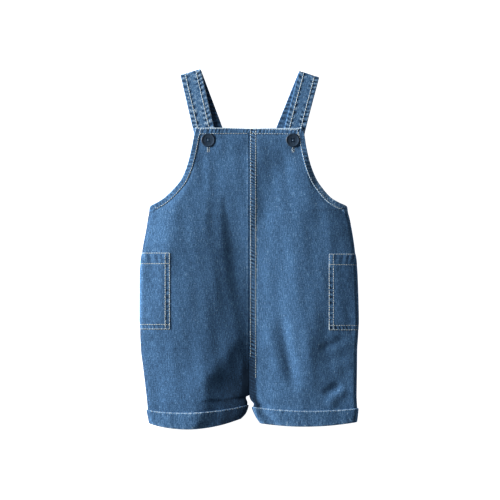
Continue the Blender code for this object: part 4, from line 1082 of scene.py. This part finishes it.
class Strap:
    """A strap's middle line on its outer face, with the way out of the cloth and across it."""

    def __init__(self, side):
        self.side = side
        front, front_way = strap_run(STRAPS[side]["front"], STRAP_ROWS)
        back, back_way = strap_run(STRAPS[side]["back"][::-1], STRAP_ROWS)
        fold_way = front_way[-1] + back_way[-1]
        fold_way = fold_way / np.hypot(*fold_way)
        angles = np.linspace(0, np.pi, STRAP_TURN + 2)[1:-1]
        way = np.vstack((front_way, np.repeat(fold_way[None, :], STRAP_TURN, axis=0), back_way[::-1]))
        near = np.linspace(0, 1, STRAP_ROWS) ** STRAP_EASE
        near = np.concatenate((near, np.ones(STRAP_TURN), near[::-1]))[:, None]
        way = way * (1 - near) + fold_way * near
        self.square = np.zeros((len(way), 3))
        self.square[:, :2] = np.stack((way[:, 1], -way[:, 0]), axis=-1) / np.hypot(*way.T)[:, None]
        turn_middle = (front[-1, :2] + back[-1, :2]) / 2
        self.out = np.zeros((len(way), 3))
        self.out[:STRAP_ROWS, 2], self.out[-STRAP_ROWS:, 2] = 1, -1
        turn = slice(STRAP_ROWS, STRAP_ROWS + STRAP_TURN)
        self.out[turn, :2] = np.outer(np.sin(angles), fold_way)
        self.out[turn, 2] = np.cos(angles)
        self.middle = np.vstack((front + (0, 0, STRAP_WALL), np.zeros((STRAP_TURN, 3)), back[::-1]))
        self.middle[turn, :2] = turn_middle
        self.middle[turn, 2] = STRAP_FOLD
        self.middle[turn] += STRAP_FOLD * self.out[turn]
        steps = np.linalg.norm(np.diff(self.middle, axis=0), axis=1)
        self.along = np.concatenate(([0], np.cumsum(steps)))

    def points(self, across, depth):
        """Points at distances across the strap and depths below its outer face."""
        middle, out, square = self.middle[:, None], self.out[:, None], self.square[:, None]
        return middle + square * across[..., None] - out * depth[..., None]


def strap_piece(strap):
    columns = np.sin(np.linspace(-1, 1, STRAP_COLUMNS) * STRAP_SPREAD * np.pi / 2)
    across = np.repeat(STRAP_WIDTH / 2 * columns[None, :] / columns[-1], len(strap.middle), axis=0)
    along = strap.along[:, None] + 0 * across
    from_edge, side = STRAP_WIDTH / 2 - abs(across), np.sign(across)
    edge = band_puckers(along + 3 * side, from_edge, STRAP_PUCKERS, 2.2 + side)
    middle = pucker(along - 0.5 * from_edge + 5 * side, STRAP_MIDDLE_PUCKER, 4.1 + side)
    middle = middle * worn_line(from_edge, *STRAP_MIDDLE_BAND)
    wear_and_painted_light = STRAP_BLOTCHES * (blotched(edge) + blotched(middle)) + STRAP_FADE[strap.side]
    # Painted shade at the left edge, worn and painted light at the right edge.
    wear_and_painted_light = wear_and_painted_light + np.where(across < 0, *STRAP_EDGE_PAINTED_LIGHT_AND_WEAR) * worn_edge(from_edge)
    # The underside's puckers, with painted shade over the whole face.
    under_wear_and_painted_shade = STRAP_UNDER_BLOTCHES * blotched(edge) + STRAP_UNDER_PAINTED_SHADE[strap.side]
    rounding = edge_round(from_edge, STRAP_EDGE_ROUND)
    outer = strap.points(across, rounding - STRAP_PUCKER_RELIEF * (edge + middle))
    inner = strap.points(across, STRAP_WALL - rounding)
    outer[..., 2] = np.maximum(outer[..., 2], 0.0)
    cloth = np.stack((across + STRAP_SHIFT[strap.side], along, 0 * along), axis=-1) * MM
    return cloth_wall("cloth_strap_" + strap.side, outer, inner, cloth, wear_and_painted_light, under_wear_and_painted_shade)


straps = {side: Strap(side) for side in STRAPS}
strap_pieces = {}
for strap in straps.values():
    strap_pieces[strap.side] = strap_piece(strap)
    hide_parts("strap_" + strap.side)

# --- Buttons ----------------------------------------------------------------------------------
# Dark four-hole buttons of moulded plastic with a round rim. They are sewn to the straps' ends
# under the bib and pushed through its buttonholes, so they sit on its outer face.

BUTTON_PLACES = {"left": (-51.3, 134.9), "right": (54.4, 134.8)}
# Radius and height of the turned outline, from the middle of the underside round to the face.
BUTTON_PROFILE = (
    (0.0, -0.9), (7.6, -0.9), (8.5, -0.5), (8.75, 0.1), (8.62, 0.62), (8.2, 0.95), (7.7, 1.04),
    (7.2, 0.95), (6.8, 0.82), (6.2, 0.70), (5.2, 0.62), (3.0, 0.58), (0.0, 0.58),
)
BUTTON_SIDES = 72
BUTTON_SEAT_RADIUS, BUTTON_SEAT_POINTS, BUTTON_SEAT_GAP = 7.0, 24, 0.2
HOLE_RADIUS, HOLE_PLACE, HOLE_TURNS, HOLE_SIDES = 1.15, 2.2, (45, 135, 225, 315), 20
DRILL_LENGTH, DRILL_MIDDLE = 6.0, 2.6  # it stops short of the underside
BUTTON_CREASE = math.radians(40)
BUTTON_SURFACE = {"Roughness": 0.45, "Specular IOR Level": 0.25}
BUTTON_CLOUDS = {"Scale": 420.0, "Detail": 3.0}
BUTTON_COLOURS = (0.35, (0.013, 0.027, 0.049, 1)), (0.72, (0.026, 0.049, 0.084, 1))
# Painted shadow: the floors of the blind holes are near black.
HOLE_PAINTED_SHADOW = (0.001, 0.002, 0.004, 1)


def mottled_colour(tree, noise_inputs, colours):
    """Colour that varies over a piece in soft clouds."""
    coordinates = add_node(tree, "ShaderNodeTexCoord")
    noise = add_node(tree, "ShaderNodeTexNoise")
    set_inputs(noise, noise_inputs)
    tree.links.new(coordinates.outputs["Object"], noise.inputs["Vector"])
    return colour_ramp(tree, noise.outputs["Fac"], colours)


navy_plastic = new_material("navy_plastic", BUTTON_SURFACE)
navy_tree = navy_plastic.node_tree
hole_shade = add_node(navy_tree, "ShaderNodeAttribute", attribute_name="shade")
hole_mix = add_node(navy_tree, "ShaderNodeMix", data_type="RGBA")
hole_mix.inputs["B"].default_value = HOLE_PAINTED_SHADOW
navy_tree.links.new(hole_shade.outputs["Fac"], hole_mix.inputs["Factor"])
navy_tree.links.new(mottled_colour(navy_tree, BUTTON_CLOUDS, BUTTON_COLOURS), hole_mix.inputs["A"])
navy_tree.links.new(hole_mix.outputs["Result"], navy_tree.nodes["Principled BSDF"].inputs["Base Color"])


def button_seat(side):
    """Place of a button's middle on the bib, and the way it faces."""
    half, (x, y) = halves[side], BUTTON_PLACES[side]
    across = abs(half.curve("side_x", y) - x)
    turns = np.linspace(0, math.tau, BUTTON_SEAT_POINTS, endpoint=False)
    down, over = BUTTON_SEAT_RADIUS * np.sin(turns), BUTTON_SEAT_RADIUS * np.cos(turns)
    rim = front_point(half, y + down, across + over, 0.0)
    centred = rim - rim.mean(axis=0)
    slope_x, slope_y = np.linalg.lstsq(centred[:, :2], centred[:, 2], rcond=None)[0]
    seat = Vector((x, y, rim[:, 2].mean() + BUTTON_SEAT_GAP))
    return seat, Vector((-slope_x, -slope_y, 1)).normalized()


def turned_disc(side):
    builder = bmesh.new()
    profile = [builder.verts.new((radius * MM, 0, z * MM)) for radius, z in BUTTON_PROFILE]
    edges = [builder.edges.new(pair) for pair in zip(profile, profile[1:])]
    bmesh.ops.spin(
        builder, geom=profile + edges, cent=(0, 0, 0), axis=(0, 0, 1),
        angle=math.tau, steps=BUTTON_SIDES, use_merge=True,
    )
    bmesh.ops.remove_doubles(builder, verts=builder.verts, dist=0.00001)
    bmesh.ops.recalc_face_normals(builder, faces=builder.faces)
    return placed("disc_" + side, built_mesh("disc_" + side, builder))


def drills():
    builder = bmesh.new()
    for turn in HOLE_TURNS:
        away = Matrix.Translation((HOLE_PLACE * MM, 0, DRILL_MIDDLE * MM))
        bmesh.ops.create_cone(
            builder, cap_ends=True, segments=HOLE_SIDES, depth=DRILL_LENGTH * MM,
            radius1=HOLE_RADIUS * MM, radius2=HOLE_RADIUS * MM,
            matrix=Matrix.Rotation(math.radians(turn), 4, "Z") @ away,
        )
    return placed("drills", built_mesh("drills", builder))


def drilled_mesh(disc, cutter):
    """The disc's mesh with the cutter's shape taken out of it. Both objects are used up."""
    cut = disc.modifiers.new("holes", "BOOLEAN")
    cut.operation, cut.solver, cut.object = "DIFFERENCE", "EXACT", cutter
    bpy.context.view_layer.update()
    drilled = bpy.data.meshes.new_from_object(disc.evaluated_get(bpy.context.evaluated_depsgraph_get()))
    bpy.data.objects.remove(disc)
    bpy.data.objects.remove(cutter)
    return drilled


def button(side):
    mesh = drilled_mesh(turned_disc(side), drills())
    shade = mesh.attributes.new("shade", "FLOAT", "POINT")
    for vertex, value in zip(mesh.vertices, shade.data):
        # Painted shadow on the holes' floors and the foot of their walls.
        value.value = float(vertex.co.z < 0 and vertex.co.xy.length < 2 * HOLE_PLACE * MM)
    seat, way = button_seat(side)
    turn = Vector((0, 0, 1)).rotation_difference(way).to_matrix().to_4x4()
    mesh.transform(Matrix.Translation(seat * MM) @ turn)
    return finish_piece("plastic_button_" + side, mesh, navy_plastic, BUTTON_CREASE)


button_pieces = {}
for side in BUTTON_PLACES:
    button_pieces[side] = button(side)
    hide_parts("button_" + side)

# --- Stitches ---------------------------------------------------------------------------------
# Cream thread in short stitches, pulled a little way into the cloth: twin rows on the middle
# seams, the hems and the pockets, and one row inside each strap's edges and on the turn-ups. The
# buttonholes are bound in it too, and navy thread holds the buttons.

STITCH_PITCH, STITCH_GAP, STITCH_RADIUS = 3.0, 0.7, 0.36
# Along a stitch: share of its length, height over the cloth in mm, share of its thickness.
STITCH_SHAPE = (
    (0.0, -0.32, 0.5), (0.16, -0.12, 0.9), (0.5, -0.03, 1.0), (0.84, -0.12, 0.9), (1.0, -0.32, 0.5),
)
THREAD_CLOUDS = {"Scale": 700.0, "Detail": 2.0}
THREAD_COLOURS = (0.3, (0.33, 0.37, 0.36, 1)), (0.7, (0.63, 0.69, 0.67, 1))
THREAD_SURFACE = {"Roughness": 0.7, "Specular IOR Level": 0.3}
BUTTON_THREAD_SURFACE = {"Base Color": (0.13, 0.22, 0.34, 1), "Roughness": 0.8}
OVER_CLOTH = 1.0  # how far off the cloth a row is drawn before it is laid on it
ROW_START, ARMHOLE_BEND = 0.5, 66.0
PATH_POINTS, PATH_TRIES, PATH_STEP = 12, 25, 0.8  # how a path on the front is closed in on

TOP_EDGE_ROW, TOP_HEM_ROW = 0.7, 6.9  # distances from the bib's top edge
SEAM_ROWS = (2.0, -136.0), (8.3, -163.0)  # distance from the middle seam, and lower end
BACK_SEAM_ROWS, BACK_SEAM_FOOT = (1.4, 7.2), -176.0
POCKET_BORDER_ROW, POCKET_FOOT_ROW = 0.6, 6.2
CUFF_ROW, CUFF_ROW_RADIUS = 0.9, 0.2

BUTTONHOLE_TOP, BUTTONHOLE_LENGTH, BUTTONHOLE_ASIDE = 6.3, 8.6, 0.5  # from the button's middle
TACK_PITCH, TACK_REACH, TACK_RADIUS, TACK_STITCH = 0.55, (0.4, 1.7), 0.26, 1.25
TACK_BAR = 1.5  # half the length of the bar at the buttonhole's foot
# Each buttonhole's slit is a navy thread laid along it, a painted shadow for the dark opening.
SLIT_TOP, SLIT_FOOT, SLIT_RADIUS, SLIT_STITCH = 6.0, 0.3, 0.42, 2.2
CROSS_HEIGHT, CROSS_REACH, CROSS_RADIUS, CROSS_STITCH = 0.9, 0.6, 0.38, 2.6

cream_thread = new_material("cream_thread", THREAD_SURFACE)
cream_tree = cream_thread.node_tree
cream_tree.links.new(
    mottled_colour(cream_tree, THREAD_CLOUDS, THREAD_COLOURS),
    cream_tree.nodes["Principled BSDF"].inputs["Base Color"],
)
navy_thread = new_material("navy_thread", BUTTON_THREAD_SURFACE)


def resample(path, pitch):
    """Points at an even pitch along a path of points."""
    steps = np.concatenate(([0], np.cumsum(np.linalg.norm(np.diff(path, axis=0), axis=1))))
    count = max(2, int(steps[-1] / pitch) + 1)
    at = np.linspace(0, steps[-1], count)
    return np.stack([np.interp(at, steps, path[:, axis]) for axis in range(3)], axis=-1)


def stitches(name, rows, sewn, radius=STITCH_RADIUS, paint=cream_thread, pitch=STITCH_PITCH):
    """Stitches along rows of points close to a sewn piece, laid on its surface, as one piece."""
    surface = BVHTree.FromPolygons(
        [vertex.co for vertex in sewn.data.vertices], [face.vertices for face in sewn.data.polygons]
    )
    thread = bpy.data.curves.new(name, "CURVE")
    thread.dimensions = "3D"
    thread.bevel_depth = radius * MM
    thread.bevel_resolution = 1
    thread.use_fill_caps = True
    filled = (pitch - STITCH_GAP) / pitch
    for row in rows:
        path = resample(np.asarray(row), pitch)
        spots = [surface.find_nearest(Vector(point) * MM)[:2] for point in path]
        for (start, start_out), (end, end_out) in zip(spots, spots[1:]):
            out = (start_out + end_out).normalized()
            stitch = thread.splines.new("POLY")
            stitch.points.add(len(STITCH_SHAPE) - 1)
            for point, (share, height, thickness) in zip(stitch.points, STITCH_SHAPE):
                place = start.lerp(end, 0.5 + (share - 0.5) * filled) + out * height * MM
                point.co = (place.x, place.y, max(place.z, radius * MM), 1)
                point.radius = thickness
    drawn = bpy.data.objects.new(name + "_curve", thread)
    mesh = bpy.data.meshes.new_from_object(drawn)
    bpy.data.objects.remove(drawn)
    piece = finish_piece(name, mesh, paint, math.pi)
    return piece


def front_path(half, points):
    """A path just above the front, straight between two plan positions."""
    (start_x, start_y), (end_x, end_y) = points
    x, y = np.linspace(start_x, end_x, PATH_POINTS), np.linspace(start_y, end_y, PATH_POINTS)
    height, across = y, np.abs(x - half.curve("side_x", y))
    for _ in range(PATH_TRIES):
        at_x, at_y, _ = across_place(half, half.curve, height, across)
        height = height + PATH_STEP * (y - at_y)
        across = np.maximum(across + PATH_STEP * half.sign * (at_x - x), 0)
    return front_point(half, height, across, -OVER_CLOTH / 2)


def front_rows(half):
    """Rows round the armhole, along the bib's top and, on the lapping half, down the seam."""
    upper = np.linspace(half.top - ROW_START, ARMHOLE_BEND, 60)
    armhole = np.concatenate((upper, np.linspace(ARMHOLE_BEND, ARMHOLE_FOOT + 0.1, 30)[1:]))
    middle = np.linspace(0, half_width(half, half.top), 80)
    yield front_point(half, armhole, HEM_BAND, -OVER_CLOTH)
    yield front_point(half, half.top - TOP_EDGE_ROW, middle, -OVER_CLOTH)
    yield front_point(half, half.top - TOP_HEM_ROW, middle[8:], -OVER_CLOTH)
    if half.name == "right":
        for inset, foot in SEAM_ROWS:
            heights = np.linspace(half.top, foot, 300)
            yield front_point(half, heights, half_width(half, heights) - inset, -OVER_CLOTH)


def pocket_rows(half):
    """Two rows at the mouth, two along the foot, and two down each edge of a pocket."""
    top, bottom, _ = POCKETS[half.name]
    columns = np.linspace(0, 2, 160)
    mouth = top - POCKET_BORDER_ROW, top - POCKET_HEM
    foot = bottom + POCKET_BORDER_ROW, bottom + POCKET_FOOT_ROW
    for height in mouth + foot:
        yield pocket_point(half, 0 * columns + height, columns, 2 * OVER_CLOTH)
    heights = np.linspace(top, bottom, 120)
    for inset in (POCKET_BORDER_ROW, POCKET_EDGE_ROW):
        reach = pocket_grid(half, heights, 0 * heights)[1]
        from_side = (reach - inset - ROLL_WIDTH) / (reach - ROLL_WIDTH)
        from_side = POCKET_TURN_SHARE + (1 - POCKET_TURN_SHARE) * from_side
        for column in (1 - from_side, 1 + from_side):
            yield pocket_point(half, heights, column, 2 * OVER_CLOTH)


def cuff_rows(half):
    """One row all round, just under a turn-up's upper edge."""
    height = half.cuff_top + (half.cuff_end - half.cuff_top) * CUFF_ROW / CUFF_HEIGHT
    out = CUFF_LIFT + OVER_CLOTH / 2
    width = float(half_width(half, height))
    return [
        front_point(half, height, np.linspace(0, width, 200), -out),
        back_point(half, height, np.linspace(width, 0, 200), -out),
    ]


def back_rows(half):
    """A row round the armhole and, on one half, twin rows down the middle seam."""
    top = BACK_ARMHOLE[0][0] - ROW_START
    yield back_point(half, np.linspace(top, BACK_ARMHOLE[-1][0], 90), HEM_BAND, -OVER_CLOTH)
    if half.name == "right":
        heights = np.linspace(top, BACK_SEAM_FOOT, 300)
        widths = abs(back_curve(half, "mid_x", heights) - back_curve(half, "side_x", heights))
        for inset in BACK_SEAM_ROWS:
            yield back_point(half, heights, widths - inset, -OVER_CLOTH)


def buttonhole_tacks(half, x, top, foot):
    """Close short stitches down both sides of a buttonhole, and a bar across its foot."""
    for step in np.arange(0, BUTTONHOLE_LENGTH, TACK_PITCH):
        for way in (-1, 1):
            inside, outside = (x + BUTTONHOLE_ASIDE + way * reach for reach in TACK_REACH)
            yield front_path(half, ((inside, top - step), (outside, top - step)))
    yield front_path(half, ((x - TACK_BAR, foot), (x + TACK_BAR, foot)))


def button_cross(side):
    """Two stitches that cross between a button's holes."""
    seat = button_seat(side)[0] + Vector((0, 0, CROSS_HEIGHT))
    for turn in HOLE_TURNS[:2]:
        arm = Vector((math.cos(math.radians(turn)), math.sin(math.radians(turn)), 0)) * HOLE_PLACE
        yield [seat - CROSS_REACH * arm, seat + CROSS_REACH * arm]


def strap_rows(strap):
    """One row inside each edge of a strap."""
    for way in (-1, 1):
        across = np.full((len(strap.middle), 1), way * (STRAP_WIDTH / 2 - STRAP_EDGE_ROW))
        yield strap.points(across, np.full_like(across, -0.6 * OVER_CLOTH))[:, 0]


for half in halves.values():
    front, side = front_pieces[half.name], half.name
    stitches("thread_front_" + side, front_rows(half), front)
    stitches("thread_pocket_" + side, pocket_rows(half), pocket_pieces[side])
    stitches("thread_cuff_" + side, cuff_rows(half), cuff_pieces[side], radius=CUFF_ROW_RADIUS)
    stitches("thread_back_" + side, back_rows(half), back_pieces[side])
    x, y = BUTTON_PLACES[side]
    hole_top, hole_foot = y - BUTTONHOLE_TOP, y - BUTTONHOLE_TOP - BUTTONHOLE_LENGTH
    tacks = buttonhole_tacks(half, x, hole_top, hole_foot)
    stitches("thread_buttonhole_" + side, tacks, front, radius=TACK_RADIUS, pitch=TACK_STITCH)
    # Painted shadow: a navy thread along the buttonhole's slit.
    slit_x = x + BUTTONHOLE_ASIDE
    slit = front_path(half, ((slit_x, y - SLIT_TOP), (slit_x, hole_foot + SLIT_FOOT)))
    stitches("slit_" + side, [slit], front, radius=SLIT_RADIUS, paint=navy_plastic, pitch=SLIT_STITCH)
    cross = button_cross(side)
    stitches(
        "thread_button_" + side, cross, button_pieces[side],
        radius=CROSS_RADIUS, paint=navy_thread, pitch=CROSS_STITCH,
    )

for strap in straps.values():
    stitches("thread_strap_" + strap.side, strap_rows(strap), strap_pieces[strap.side])

# --- End --------------------------------------------------------------------------------------
# The box of the solids and the box of the finished dungarees differ by no more than the cloth's
# own relief.

bpy.context.view_layer.update()
